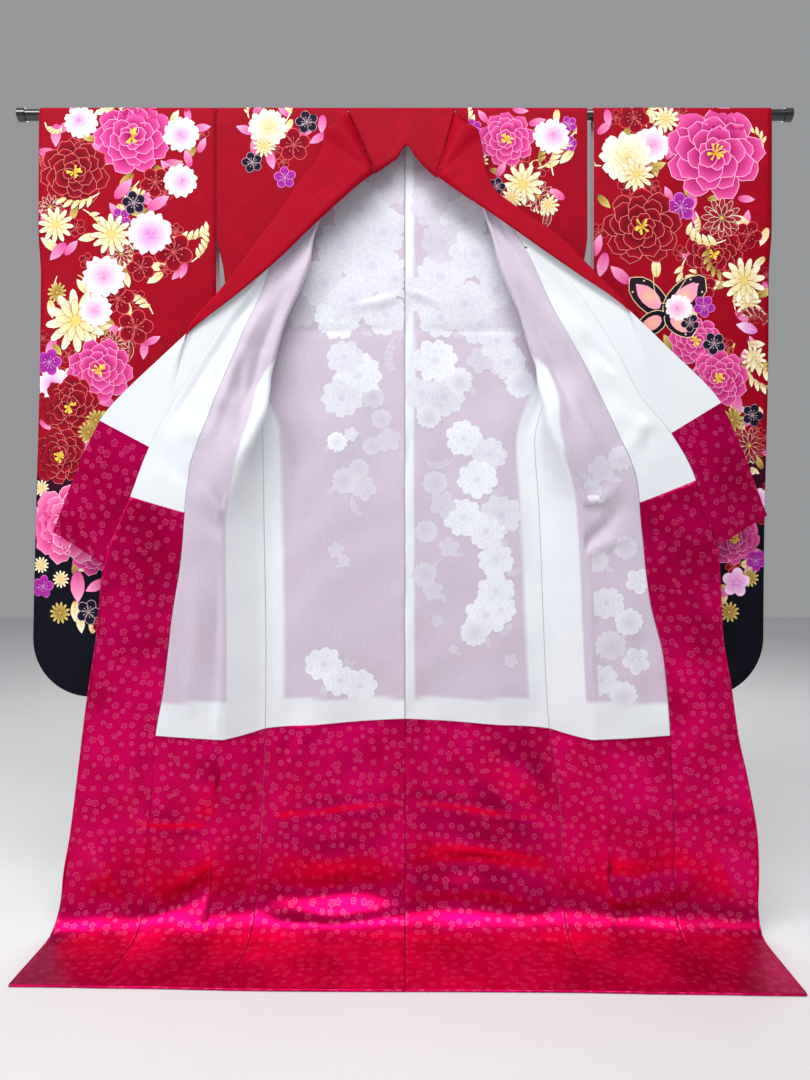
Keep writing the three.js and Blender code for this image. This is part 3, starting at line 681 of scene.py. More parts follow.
def plain(name, colour, roughness):
    """A matt surface with a slight cloud, for the floor."""
    n = Nodes(name)
    place = n.node("ShaderNodeTexCoord").outputs["Object"]
    cloud = n.noise(place, 3, 4)
    dark = tuple(0.94 * v for v in colour[:3]) + (1,)
    n.set(Base_Color=n.blend(cloud, dark, colour), Roughness=roughness)
    return n.material


CREPE = crepe("crepe")
LINING = lining("lining_silk")
SATIN = satin("hem_satin")
PRINT = crepe("printed_dye", printed=True)
SHADOW_PRINT = lining("print_shown_through", printed=True)
LACQUER = lacquer("black_lacquer")

RED = linear(150, 0, 25)
# The collar's crepe is the body's red made lighter: painted sheen.
COLLAR_RED_WITH_SHEEN = linear(160, 0, 28)
BLACK = linear(13, 13, 26)
PURPLE_BLACK = linear(52, 4, 34)
WHITE = linear(224, 228, 232)
LAVENDER = linear(198, 182, 200)
HEM_RED = linear(170, 0, 58)
PINK_INSIDE = linear(246, 205, 214)

# ---------------------------------------------------------------- cloth pieces
SHEETS = []


def cloth(obj, node, flat, area=None):
    """Puts a piece of cloth in its node's place and notes its flat size in metres."""
    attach(obj, "root")
    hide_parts(node)
    SHEETS.append({"obj": obj, "flat": flat, "area": area, "with": []})


def dye(drop, lateral, start=570.0, end=730.0):
    """The ground colour of the outer cloth: red that sinks into black."""
    drift = 17 * np.sin(lateral / 61.0) + 9 * np.sin(lateral / 23.0 + 1.3 + drop / 60)
    middle = smooth(start, (start + end) / 2, drop + drift)
    low = smooth((start + end) / 2, end, drop + drift)
    colour = mix(RED, PURPLE_BLACK, middle[..., None])
    return mix(colour, BLACK, low[..., None])


def rows_between(top, bottom, columns, step):
    """Drops on a grid: each column runs from its own top to its own bottom."""
    tops = np.broadcast_to(np.asarray(top, float), columns.shape)
    bottoms = np.broadcast_to(np.asarray(bottom, float), columns.shape)
    longest = float((bottoms - tops).max())
    # Rows 1.2 mm from each end keep the seam's dip and its painted shade narrow.
    extra = [0.0, 1.2 / longest, 1 - 1.2 / longest]
    shares = np.array(sorted(set(extra) | set(np.linspace(0, 1, int(longest / step) + 2))))
    if tops.min() < 0:
        fine = (np.linspace(-HALF_WRAP - SHOULDER_LINE, 30, 26) - tops.min()) / longest
        shares = np.array(sorted(set(fine[fine > 0]) | set(shares[shares > fine.max()]) | {0.0}))
    return tops + (bottoms - tops) * shares[:, None]


def with_edges(columns, nip=0.006):
    """A panel's places with one more column close to each seam, for its valley and a narrow line of
    painted shade.
    """
    return joined([columns[0], columns[0] + nip], columns[1:-1], [columns[-1] - nip, columns[-1]])


def valley(shape, top, bottom, depth=0.7):
    """Cloth dips into the seam along a panel's outer rows and columns."""
    dip = np.zeros(shape)
    dip[:, 0] = dip[:, -1] = -depth
    if top:
        dip[0, :] = -depth
    if bottom:
        dip[-1, :] = -depth
    return dip


def seam_painted_shade(colours, top, bottom):
    """Painted shade: darkens the outer columns, and the top or bottom row, along a panel's seams, where
    the cloth dips into them.
    """
    colours = np.array(colours)
    colours[:, 0] *= 0.42
    colours[:, -1] *= 0.42
    if top:
        colours[0] *= 0.6
    if bottom:
        colours[-1] *= 0.6
    return colours


def panel(name, side, columns, top, bottom, step):
    """Grid of a body panel: points on the shared surface with their creases, place and drop."""
    drop = rows_between(top, bottom, columns, step)
    place = np.broadcast_to(columns, drop.shape)
    points = body_points(side, place, drop)
    return creased(name, side, points, place, drop), place, drop


ROW_STEP = 8  # mm between rows, the same in the outer cloth and the lining, so that neither pokes through
LINING_OFFSET = 1.5
SEAM_DIP = 0.5


def outer_piece(name, side, label, columns, top, split, bottom, flat, step=ROW_STEP, area=None):
    """An outer panel as a thin shell: dyed outside, white inside down to the split and red below."""
    points, place, drop = panel(name, side, columns, top, bottom, step)
    normal = normals(points, -side["sign"])
    dip = valley(drop.shape, False, False, SEAM_DIP)[..., None]
    layers = [points - normal * (WALL / 2 + dip), points + normal * (WALL / 2 - 0.2)]
    uv = flat_coordinates(points, drop)
    low = np.asarray(split)[None, :]
    inside = mix(WHITE, HEM_RED, smooth(low - 4, low + 4, drop)[..., None])
    obj = grid_mesh(f"{name}_{label}_cloth", layers, uv, [dye(drop, uv[..., 0]), inside], [CREPE])
    cloth(obj, f"{name}_{label}_outer", flat, area)


def lining_piece(name, side, label, columns, top, bottom, material, flat, paint=None, step=ROW_STEP,
                 area=None):
    """A lining panel as one layer on the inner face of the outer cloth."""
    points, place, drop = panel(name, side, columns, top, bottom, step)
    normal = normals(points, -side["sign"])
    lift = LINING_OFFSET + valley(drop.shape, True, False)
    uv = flat_coordinates(points, drop)
    if paint:
        colours = paint(np.abs(points[..., 0]), drop, uv[..., 0], uv[..., 0].max(axis=1))
    else:
        colours = np.ones(points.shape)
    # The seam rows and columns get painted shade.
    colours = seam_painted_shade(colours, not paint, bool(paint))
    obj = grid_mesh(f"{name}_{label}_cloth", [points + normal * lift[..., None]], uv, colours,
                    [material])
    cloth(obj, f"{name}_{label}", flat, area)


# Pale flowers woven into the lining: lateral, drop, radius, strength.
BACK_FLOWERS = {
    "left": [(30, 120, 44, 0.5), (84, 170, 52, 0.6), (40, 212, 46, 0.55),
             (118, 236, 48, 0.6), (62, 276, 54, 0.65), (18, 300, 40, 0.6),
             (150, 308, 46, 0.6), (98, 340, 44, 0.65), (192, 352, 40, 0.5),
             (126, 372, 42, 0.75), (36, 366, 40, 0.55),
             (112, 446, 34, 0.55), (88, 480, 46, 0.85), (118, 522, 38, 0.6),
             (126, 604, 19, 0.8), (100, 590, 14, 0.6), (60, 520, 22, 0.4),
             (44, 560, 20, 0.45), (30, 600, 24, 0.35), (62, 612, 18, 0.4),
             (110, 676, 26, 0.4), (76, 690, 24, 0.45), (86, 654, 20, 0.35),
             (128, 806, 16, 0.35), (112, 826, 12, 0.3),
             (150, 1016, 34, 0.85), (120, 1046, 30, 0.85), (84, 1056, 32, 0.8)],
    "right": [(56, 160, 46, 0.5), (110, 190, 44, 0.55), (70, 232, 40, 0.5),
              (132, 254, 50, 0.65), (66, 296, 46, 0.65), (24, 330, 38, 0.6),
              (170, 322, 42, 0.55), (110, 346, 44, 0.6), (66, 372, 40, 0.7),
              (140, 380, 44, 0.65), (196, 372, 38, 0.5),
              (56, 452, 42, 0.95), (30, 514, 34, 0.7), (74, 520, 38, 0.7),
              (100, 490, 26, 0.6), (172, 416, 36, 0.65), (190, 456, 34, 0.7),
              (214, 496, 28, 0.55), (140, 452, 26, 0.45), (44, 556, 24, 0.55),
              (110, 598, 34, 0.9), (156, 628, 32, 0.6), (134, 674, 36, 0.85),
              (56, 680, 24, 0.4), (108, 744, 36, 0.75), (178, 740, 38, 0.65),
              (150, 770, 34, 0.8), (70, 720, 26, 0.4), (168, 822, 34, 0.75),
              (40, 770, 22, 0.35), (82, 800, 20, 0.35), (168, 880, 34, 0.8),
              (150, 926, 38, 0.85), (176, 912, 30, 0.8), (128, 958, 26, 0.6),
              (36, 850, 24, 0.4), (52, 880, 20, 0.4), (60, 936, 12, 0.35),
              (90, 990, 10, 0.3), (196, 1010, 14, 0.3)],
}
FLAP_FLOWERS = {  # none show on the left front
    "right": [(352, 660, 26, 0.45), (386, 640, 24, 0.4), (330, 700, 24, 0.35),
              (304, 868, 34, 0.8), (300, 930, 32, 0.75), (322, 986, 28, 0.55),
              (364, 900, 30, 0.55), (404, 934, 26, 0.65), (372, 976, 28, 0.5),
              (418, 1004, 26, 0.6), (356, 1040, 30, 0.7), (394, 1066, 26, 0.6),
              (420, 860, 24, 0.55), (396, 800, 22, 0.5), (346, 824, 22, 0.4)],
}


def upper_paint(name, kind):
    """The lavender lining with its white borders at the side, the centre and the hem."""
    def paint(a, drop, across, width):
        if kind == "back":
            borders = [1 - smooth(33, 36, width[:, None] - across)]
            if name == "right":
                borders.append(1 - smooth(17, 19, across))
        else:
            borders = [1 - smooth(72, 76, across)]
        borders.append(smooth(-52, -49, drop - 1130))
        return mix(LAVENDER, WHITE, np.maximum.reduce(borders)[..., None])
    return paint


def white_paint(a, drop, across, width):
    """A lining that is white all over."""
    return np.broadcast_to(WHITE, drop.shape + (3,)).copy()


BACK_PLACES = with_edges(joined(spread(0, 0.9, 0.9 / 48), spread(0.9, 1, 0.0125)))
FRONT_PLACES = with_edges(joined(spread(1.001, 1.15, 0.019), spread(1.15, 1.4, 0.025),
                                 spread(1.4, 1.6, 0.0167), spread(1.6, 2, 0.01)))
OKUMI_PLACES = with_edges(np.array(spread(2, 3, 1 / 30)), 0.012)


# ---------------------------------------------------------------- collar
def collar_row(side, drop):
    """The nine points across the collar at one seam drop."""
    value = [along(side["collar"], drop, k) for k in range(1, 7)]
    place = 2.0 if drop < side["tip"] else 3.0
    seam = body_points(side, np.array([place]), np.array([float(drop)]))[0]
    fold = np.array([side["sign"] * value[0], 0.0, -value[1]])
    edge = np.array([side["sign"] * value[2], value[4], -value[3]])
    steps = [0, 0.08, 0.16, 0.24, 0.34, 0.46, 0.6, 0.8, 1]
    straight = np.array([mix(seam, edge, s) for s in steps])
    folded = value[5]
    if folded <= 0:
        return straight
    back_y = seam[1] - 1
    front_y = back_y - 2 * FOLD_RADIUS

    def before_fold(start, y):
        away = np.array([fold[0] - start[0], 0, fold[2] - start[2]])
        point = fold - away / np.linalg.norm(away) * FOLD_RADIUS
        point[1] = y
        return point

    def at_depth(point, y):
        return np.array([point[0], y, point[2]])

    back, front = before_fold(seam, back_y), before_fold(edge, front_y)
    middle = at_depth(fold, back_y - FOLD_RADIUS)
    corners = [at_depth(mix(end, fold, 0.7), mix(y, middle[1], 0.3))
               for end, y in ((back, back_y), (front, front_y))]
    path = np.array([seam, mix(seam, back, 0.5), back, corners[0], middle, corners[1], front,
                     mix(front, edge, 0.5), edge])
    return mix(straight, path, folded)


def rounded(rows, cuts):
    """Catmull-Rom curves through the columns of a grid, `cuts` steps between two columns."""
    rows = np.asarray(rows)
    padded = np.concatenate([2 * rows[:, :1] - rows[:, 1:2], rows, 2 * rows[:, -1:] - rows[:, -2:-1]], 1)
    out = []
    for j in range(rows.shape[1] - 1):
        p0, p1, p2, p3 = (padded[:, j + k] for k in range(4))
        for t in np.arange(cuts) / cuts:
            out.append(0.5 * (2 * p1 + (p2 - p0) * t + (2 * p0 - 5 * p1 + 4 * p2 - p3) * t**2
                              + (3 * p1 - p0 - 3 * p2 + p3) * t**3))
    out.append(rows[:, -1])
    return np.stack(out, axis=1)


def collar_pieces(name, side):
    """The collar's outer cloth and its two stretches of lining."""
    drops = joined(spread(0, side["clip"], 7), spread(side["clip"], side["collarEnd"], 7))
    grid = rounded([collar_row(side, d) for d in drops], 3)
    drop = np.broadcast_to(drops[:, None], grid.shape[:2])
    uv = flat_coordinates(grid, drop)
    normal = normals(grid, -side["sign"])
    layers = [grid - normal * 0.6, grid + normal * 0.4]
    colours = np.broadcast_to(COLLAR_RED_WITH_SHEEN, grid.shape).copy()
    outer = grid_mesh(f"{name}_collar_cloth", layers, uv, colours, [CREPE])
    cloth(outer, f"{name}_collar_outer", (0.11, 0.95))
    for label, low, high, material in (("collar_lining", 205, side["clip"], LINING),
                                       ("collar_end_lining", side["clip"], side["collarEnd"], SATIN)):
        keep = (drops >= low) & (drops <= high)
        part = (grid + normal * 1.3)[keep]
        tint = np.broadcast_to(WHITE if material is LINING else np.ones(3), part.shape).copy()
        obj = grid_mesh(f"{name}_{label}_cloth", [part], uv[keep], tint, [material])
        width = 0.11 if material is SATIN else 0.09
        cloth(obj, f"{name}_{label}", (width, (high - low) * 0.00125))


def neck_piece():
    """The collar behind the neck: up behind the rod, over it and down in front."""
    over = np.linspace(-HALF_WRAP - SHOULDER_LINE, 0, 24)
    table = [[k] + row for k, row in enumerate(NECK_ROWS)]
    columns = []
    for k in np.linspace(0, len(NECK_ROWS) - 1, 43):
        lateral, edge_lateral, edge_drop = (along(table, k, c) for c in (1, 2, 3))
        wrapped = np.stack([np.full(len(over), lateral), -wrap_depth(over), fall(over)[1]], 1)
        edge = np.array([edge_lateral, NECK_FREE_Y, -edge_drop])
        hang = [mix(wrapped[-1], edge, s) for s in np.linspace(0, 1, 12)[1:]]
        columns.append(np.concatenate([wrapped, hang]))
    grid = np.stack(columns, axis=1)
    normal = normals(grid, 1)
    drop = np.broadcast_to(np.arange(len(grid))[:, None] * 6.0, grid.shape[:2])
    colours = np.broadcast_to(RED, grid.shape).copy()
    obj = grid_mesh("neck_collar_cloth", [grid - normal * 0.6, grid + normal * 0.6],
                    flat_coordinates(grid, drop), colours, [CREPE])
    cloth(obj, "neck_collar_outer", (0.15, 0.2))


# ---------------------------------------------------------------- sleeves
def sleeve_outer(side, drop):
    """Lateral of the sleeve's outer edge, with its rounded lower corner."""
    into = np.maximum(0, drop - (SLEEVE_DROP - SLEEVE_CORNER))
    cut = SLEEVE_CORNER - np.sqrt(np.maximum(0, SLEEVE_CORNER**2 - into**2))
    return curve(side["sleeveOuter"], drop) - cut


def sleeve_points(side, share, length):
    """length runs down the front from the rod's ridge, and below RIDGE it runs down the back."""
    share, length = np.broadcast_arrays(share, length)
    front = length >= RIDGE
    drop = np.where(front, length, 2 * RIDGE - length)
    face = np.where(front, -1.0, 1.0)
    outer = sleeve_outer(side, drop)
    lateral = mix(SLEEVE_INNER, outer, share)
    sewn = 1 - smooth(CUFF_DROP - 20, CUFF_DROP + 70, drop) * (1 - smooth(0, 70, outer - lateral))
    opened = sewn * smooth(0, 90, SLEEVE_DROP - drop)
    wave = 2.5 * np.sin(9 * share) * smooth(100, 1000, drop)
    depth = mix(SEWN_HALF_DEPTH, wrap_depth(drop), np.where(drop < 0, 1, opened))
    ridge = np.where(drop <= RIDGE + 1e-6, 0.0, 1.0)
    return np.stack([side["sign"] * lateral, face * depth * ridge + wave, fall(drop)[1]], axis=-1)


def sleeve_piece(name, side):
    """One length of cloth over the rod, front and back, as a thin shell."""
    corner = SLEEVE_DROP - SLEEVE_CORNER + SLEEVE_CORNER * np.sin(np.linspace(0, math.pi / 2, 16))
    down = joined(np.linspace(RIDGE, 0, 9), spread(0, SLEEVE_DROP - SLEEVE_CORNER, 10), corner)
    length = np.concatenate([down[::-1], 2 * RIDGE - down[1:]])
    share = np.linspace(0, 1, 32)
    grid = sleeve_points(side, share[None, :], length[:, None])
    normal = normals(grid, 1)
    drop = np.where(length >= RIDGE, length, 2 * RIDGE - length)
    tone = np.broadcast_to(drop[:, None], grid.shape[:2])
    uv = np.stack([np.abs(grid[..., 0]), np.broadcast_to(length[:, None], tone.shape)], -1)
    colours = dye(tone, np.abs(grid[..., 0]))
    outward = normal * np.sign((normal[5, 5] * np.array([0, -1, 0])).sum())
    layers = [grid + outward * 0.6, grid - outward * 0.6]
    inside = np.broadcast_to(PINK_INSIDE, grid.shape)
    obj = grid_mesh(f"{name}_sleeve_cloth", layers, uv, [colours, inside], [CREPE, LINING])
    cloth(obj, f"{name}_sleeve", (0.33, 2.16))


# ---------------------------------------------------------------- printed flowers
def between(low, high, share):
    """Colours between two sRGB ends, one for each share."""
    return mix(np.asarray(low, float), np.asarray(high, float), np.asarray(share)[..., None])


PALETTES = {  # base, tip, outline
    "magenta": ((140, 0, 70), (240, 92, 168), (252, 172, 210)),
    "rose": ((186, 14, 92), (250, 138, 190), (254, 204, 224)),
    "deep": ((70, 0, 10), (164, 6, 34), (228, 120, 110)),
    "red": ((84, 0, 14), (158, 4, 32), (226, 92, 92)),
    "black": ((14, 10, 26), (34, 24, 52), (196, 170, 180)),
    "purple": ((112, 10, 110), (186, 50, 170), (228, 140, 214)),
    "cream": ((232, 200, 128), (254, 248, 226), (150, 104, 58)),
    "gold": ((148, 112, 40), (226, 204, 122), (92, 62, 26)),
    "blush": ((238, 120, 186), (252, 240, 244), (240, 200, 220)),
    "lilac": ((208, 96, 190), (250, 228, 246), (232, 186, 222)),
    "petalpink": ((214, 70, 140), (248, 172, 208), (186, 50, 116)),
    "outline": ((120, 20, 30), (168, 40, 52), (250, 232, 206)),
    "ghost": ((212, 209, 222), (232, 236, 240), (238, 241, 245)),
    "haze": ((203, 196, 213), (221, 222, 230), (226, 228, 235)),
    "mist": ((198, 187, 205), (210, 204, 217), (213, 208, 220)),
}
GHOSTS = ("ghost", "haze", "mist")


# Every dyed shape lies a little over the one before it, in mm, so that no two share a plane.
RING_RISE = 0.03
PETAL_RISE = 0.002
LINE_RISE = 0.001


def heading_to(angle, tall=1.0):
    """A step of length 1 at an angle, squashed to `tall` along the cloth's length."""
    return np.array([math.cos(angle), math.sin(angle) * tall])


class Print:
    """Dyed shapes in a panel's flat coordinates (lateral, length), gathered into one mesh."""

    def __init__(self):
        self.at, self.level, self.tint, self.faces = [], [], [], []
        self.base = 0.0
        self.count = 0

    def shape(self, outline, heart, tint_at, level, rings=(1.0, 0.5)):
        """A filled outline round its heart. tint_at gives sRGB colours for points."""
        outline, heart = np.asarray(outline, float), np.asarray(heart, float)
        size = len(outline)
        grid = [heart + (outline - heart) * r for r in rings] + [heart[None]]
        points = np.concatenate(grid)
        start = self.count
        for ring in range(len(rings) - 1):
            for k in range(size):
                a, b = start + ring * size + k, start + ring * size + (k + 1) % size
                self.faces.append((a, b, b + size, a + size))
        last = start + (len(rings) - 1) * size
        self.faces += [(last + k, last + (k + 1) % size, last + size) for k in range(size)]
        self.gather(points, tint_at(points), level)

    def band(self, outline, heart, width, colour, level):
        """A thin line just inside an outline."""
        outline, heart = np.asarray(outline, float), np.asarray(heart, float)
        away = outline - heart
        reach = np.maximum(np.linalg.norm(away, axis=1, keepdims=True), 1e-6)
        inner = heart + away * np.maximum(0, 1 - width / reach)
        size, start = len(outline), self.count
        for k in range(size):
            a, b = start + k, start + (k + 1) % size
            self.faces.append((a, b, b + size, a + size))
        self.gather(np.concatenate([outline, inner]), np.tile(colour, (2 * size, 1)), level)

    def strip(self, path, widths, low, high, level):
        """A tapering stroke along a path."""
        path = np.asarray(path, float)
        tangent = np.gradient(path, axis=0)
        tangent /= np.maximum(np.linalg.norm(tangent, axis=1, keepdims=True), 1e-6)
        side = np.stack([-tangent[:, 1], tangent[:, 0]], 1) * np.asarray(widths)[:, None] / 2
        size, start = len(path), self.count
        self.faces += [(start + k, start + k + 1, start + size + k + 1, start + size + k)
                       for k in range(size - 1)]
        share = np.linspace(0, 1, size)
        tint = between(low, high, share)
        self.gather(np.concatenate([path + side, path - side]), np.concatenate([tint, tint]), level)

    def gather(self, points, tints, level):
        self.at.append(points)
        self.tint.append(tints)
        self.level.append(np.full(len(points), self.base + level))
        self.count += len(points)


def oval(centre, heading, length, width, points=12, frill=0.0, lobes=3, phase=0.0, point=0.0):
    """A petal's outline: heading points to its tip, frill scallops the tip, point sharpens it."""
    theta = np.arange(points) / points * 2 * math.pi
    along_tip = np.clip(np.cos(theta), 0, 1)
    reach = 1 + frill * along_tip * np.cos(lobes * 2 * theta + phase)
    x = length * np.cos(theta) * reach
    y = width * np.sin(theta) * reach * (1 - point * along_tip**2)
    direction = heading_to(heading)
    normal = np.array([-direction[1], direction[0]])
    return np.asarray(centre) + x[:, None] * direction + y[:, None] * normal


def radial_tint(centre, radius, low, high, power=1.0):
    """Tints points from low at a centre to high at a radius."""
    def tint(points):
        share = np.clip(np.linalg.norm(points - centre, axis=1) / radius, 0, 1) ** power
        return between(low, high, share)
    return tint


def peony(ink, x, y, size, palette, rng):
    """Four rings of broad frilled petals round golden stamens."""
    base, tip, line = PALETTES[palette]
    centre = np.array([x, y])
    layers = ((0.70, 9, 0.33, 0.30), (0.52, 9, 0.30, 0.27), (0.34, 6, 0.27, 0.26),
              (0.17, 6, 0.19, 0.17))  # distance, petals, length, width
    for ring, (distance, count, length, width) in enumerate(layers):
        turn = rng.uniform(0, 6.28)
        for k in range(count):
            angle = turn + k * 2 * math.pi / count + rng.uniform(-0.12, 0.12)
            heart = centre + size * distance * heading_to(angle, 0.94)
            grow = rng.uniform(0.9, 1.12)
            outline = oval(heart, angle + rng.uniform(-0.3, 0.3), size * length * grow,
                           size * width * grow, 14, 0.10, 3, rng.uniform(0, 6.28))
            back = heart - size * length * 0.9 * heading_to(angle)
            level = ring * RING_RISE + k * PETAL_RISE
            ink.shape(outline, heart, radial_tint(back, size * length * 1.9, base, tip, 1.5), level)
            if palette not in GHOSTS:
                ink.band(outline, heart, max(0.9, size * 0.016), line, level + LINE_RISE)
    for k in range(0 if palette in GHOSTS else 11):
        angle = rng.uniform(0, 6.28)
        end = centre + size * rng.uniform(0.12, 0.24) * heading_to(angle)
        ink.strip([mix(centre, end, t) for t in (0, 0.5, 1)], [1.8, 2.6, 4.0], (214, 150, 30),
                  (250, 224, 90), 0.13 + 0.001 * k)


def pompon(ink, x, y, size, palette, rng):
    """A round fluffy bloom: three rings of small ruffled petals, darkest at an off-centre heart."""
    base, tip, line = PALETTES[palette]
    centre = np.array([x, y])
    heart_at = centre + size * rng.uniform(-0.14, 0.14, 2)
    layers = ((0.68, 13, 0.34, 0.24), (0.42, 10, 0.30, 0.23), (0.18, 6, 0.24, 0.20))
    for ring, (distance, count, length, width) in enumerate(layers):
        turn = rng.uniform(0, 6.28)
        for k in range(count):
            angle = turn + (k + rng.uniform(-0.15, 0.15)) * 2 * math.pi / count
            heart = centre + size * distance * heading_to(angle, 0.95)
            grow = rng.uniform(0.9, 1.1)
            outline = oval(heart, angle, size * length * grow, size * width * grow, 12, 0.12, 2,
                           rng.uniform(0, 6.28))
            level = ring * RING_RISE + k * PETAL_RISE
            ink.shape(outline, heart, radial_tint(heart_at, size * 0.8, base, tip, 0.75), level)
            if palette not in GHOSTS:
                soft = mix(np.array(line), np.array(tip), 0.5)
                ink.band(outline, heart, max(0.5, size * 0.016), soft, level + LINE_RISE)


def ume(ink, x, y, size, palette, rng):
    """A plum blossom: five round petals and ten stamens with dots."""
    base, tip, line = PALETTES[palette]
    centre = np.array([x, y])
    turn = rng.uniform(0, 6.28)
    for k in range(5):
        angle = turn + k * 2 * math.pi / 5
        heart = centre + size * 0.55 * heading_to(angle)
        outline = oval(heart, angle, size * 0.44, size * 0.40, 14)
        level = k * 0.002
        ink.shape(outline, heart, radial_tint(centre, size, base, tip), level)
        ink.band(outline, heart, max(0.8, size * 0.04), line, level + 0.001)
    ink.shape(oval(centre, 0, size * 0.2, size * 0.2, 10), centre,
              radial_tint(centre, size * 0.2, line, base), 0.02, (1.0,))
    for k in range(10):
        angle = turn + k * 0.628
        end = centre + size * 0.42 * heading_to(angle)
        ink.strip([mix(centre, end, t) for t in (0.25, 1.0)], [0.6, 0.6], line, line, 0.022 + 0.0005 * k)
        ink.shape(oval(end, 0, size * 0.045, size * 0.045, 6), end,
                  radial_tint(end, 2, line, line), 0.03 + 0.0005 * k, (1.0,))


def kiku(ink, x, y, size, palette, rng):
    """A chrysanthemum: a ring of twelve narrow petals, a shorter ring of nine and a round heart."""
    base, tip, line = PALETTES[palette]
    centre = np.array([x, y])
    turn = rng.uniform(0, 6.28)
    for ring, (distance, length, width) in enumerate(((0.62, 0.37, 0.125), (0.40, 0.28, 0.10))):
        count = (12, 9)[ring]
        for k in range(count):
            angle = turn + ring * 0.3 + k * 2 * math.pi / count
            heart = centre + size * distance * heading_to(angle)
            wide = width * (14 / 12, 1.3)[ring]
            outline = oval(heart, angle, size * length, size * wide, 10)
            level = ring * 0.04 + k * 0.002
            ink.shape(outline, heart, radial_tint(centre, size, base, tip), level)
            ink.band(outline, heart, max(0.6, size * 0.022), line, level + 0.001)
    ink.shape(oval(centre, 0, size * 0.17, size * 0.17, 12), centre,
              radial_tint(centre, size * 0.17, line if palette in GHOSTS else (240, 206, 96), base),
              0.09, (1.0,))


def leaf(ink, x, y, size, palette, rng):
    """A pointed leaf with its midrib and three pairs of veins."""
    base, tip, line = PALETTES[palette]
    centre = np.array([x, y])
    heading = rng.uniform(0, 6.28)
    outline = oval(centre, heading, size, size * 0.46, 14, 0, 3, 0, 0.75)
    root = centre - size * heading_to(heading)
    ink.shape(outline, centre, radial_tint(root, size * 2, base, tip), 0.0)
    ink.band(outline, centre, 0.7, line, 0.001)
    end = centre + size * 0.8 * heading_to(heading)
    ink.strip([mix(root, end, t) for t in (0, 0.5, 1)], [1.3, 0.9, 0.4], line, tip, 0.006)
    for k in (0.3, 0.5, 0.7):
        start = mix(root, end, k)
        for bend in (0.7, -0.7):
            tipward = start + size * 0.36 * heading_to(heading + bend)
            ink.strip([start, tipward], [0.6, 0.3], line, tip, 0.003 + 0.001 * k)


def scroll(ink, x, y, size, palette, rng):
    """A curling stem with a few small leaves."""
    base, tip, line = PALETTES[palette]
    heading = rng.uniform(0, 6.28)
    bend = rng.choice([-1, 1]) * rng.uniform(1.2, 2.4)
    path, point, turn = [], np.array([x, y], float), heading
    for k in range(14):
        path.append(point.copy())
        point = point + size / 7 * heading_to(turn)
        turn += bend / 14 * (0.6 + k / 9)
    widths = 4.2 * np.sin(np.linspace(0.35, math.pi - 0.1, 14))
    ink.strip(path, widths, tip, line, 0.0)
    for k in (3, 5, 7, 9, 11):
        angle = heading + bend * k / 14 + (0.9 if k % 2 else -0.9)
        spot = path[k] + size * 0.16 * heading_to(angle)
        outline = oval(spot, angle, size * 0.26, size * 0.11, 10, 0, 3, 0, 0.6)
        ink.shape(outline, spot, radial_tint(path[k], size * 0.4, base, tip), 0.002 * k)
        ink.band(outline, spot, 0.6, line, 0.002 * k + 0.001)


def butterfly(ink, x, y, size, palette, rng):
    """Four dark wings with pink fields and a row of dots, a slim body and two feelers."""
    centre = np.array([x, y])
    line = (240, 214, 170)
    for k, (angle, length, width) in enumerate(((-2.35, 0.62, 0.34), (-0.75, 0.66, 0.36),
                                                (2.55, 0.42, 0.27), (0.6, 0.44, 0.28))):
        heart = centre + size * length * 0.95 * heading_to(angle)
        outline = oval(heart, angle, size * length, size * width, 16, 0.05, 3, k)
        ink.shape(outline, heart, radial_tint(centre, size, (20, 14, 26), (40, 26, 40)), k * 0.02)
        ink.band(outline, heart, 1.4, line, k * 0.02 + 0.006)
        inner = oval(heart, angle, size * length * 0.62, size * width * 0.6, 12, 0.12, 2, k)
        ink.shape(inner, heart, radial_tint(heart, size * 0.3, (246, 190, 150), (248, 150, 190)),
                  k * 0.02 + 0.06)
        for spot_angle in (-0.5, 0, 0.5):
            spot = heart + size * length * 0.72 * heading_to(angle + spot_angle) * 0.9
            ink.shape(oval(spot, 0, 1.8, 1.8, 6), spot, radial_tint(spot, 3, line, line),
                      k * 0.02 + 0.07, (1.0,))
    body = [centre + size * t * np.array([0.1, 0.5]) for t in np.linspace(-0.5, 0.7, 6)]
    ink.strip(body, [2, 5, 6, 5, 3, 1], (60, 30, 40), (24, 16, 26), 0.1)
    for bend in (-0.5, 0.35):
        feeler = [body[0] + size * t * np.array([bend + 0.25 * t, -0.7 * t]) for t in
                  np.linspace(0, 1, 6)]
        ink.strip(feeler, [1.2] * 6, line, line, 0.1)


KINDS = {"peony": peony, "pompon": pompon, "ume": ume, "kiku": kiku, "leaf": leaf,
         "scroll": scroll, "butterfly": butterfly}

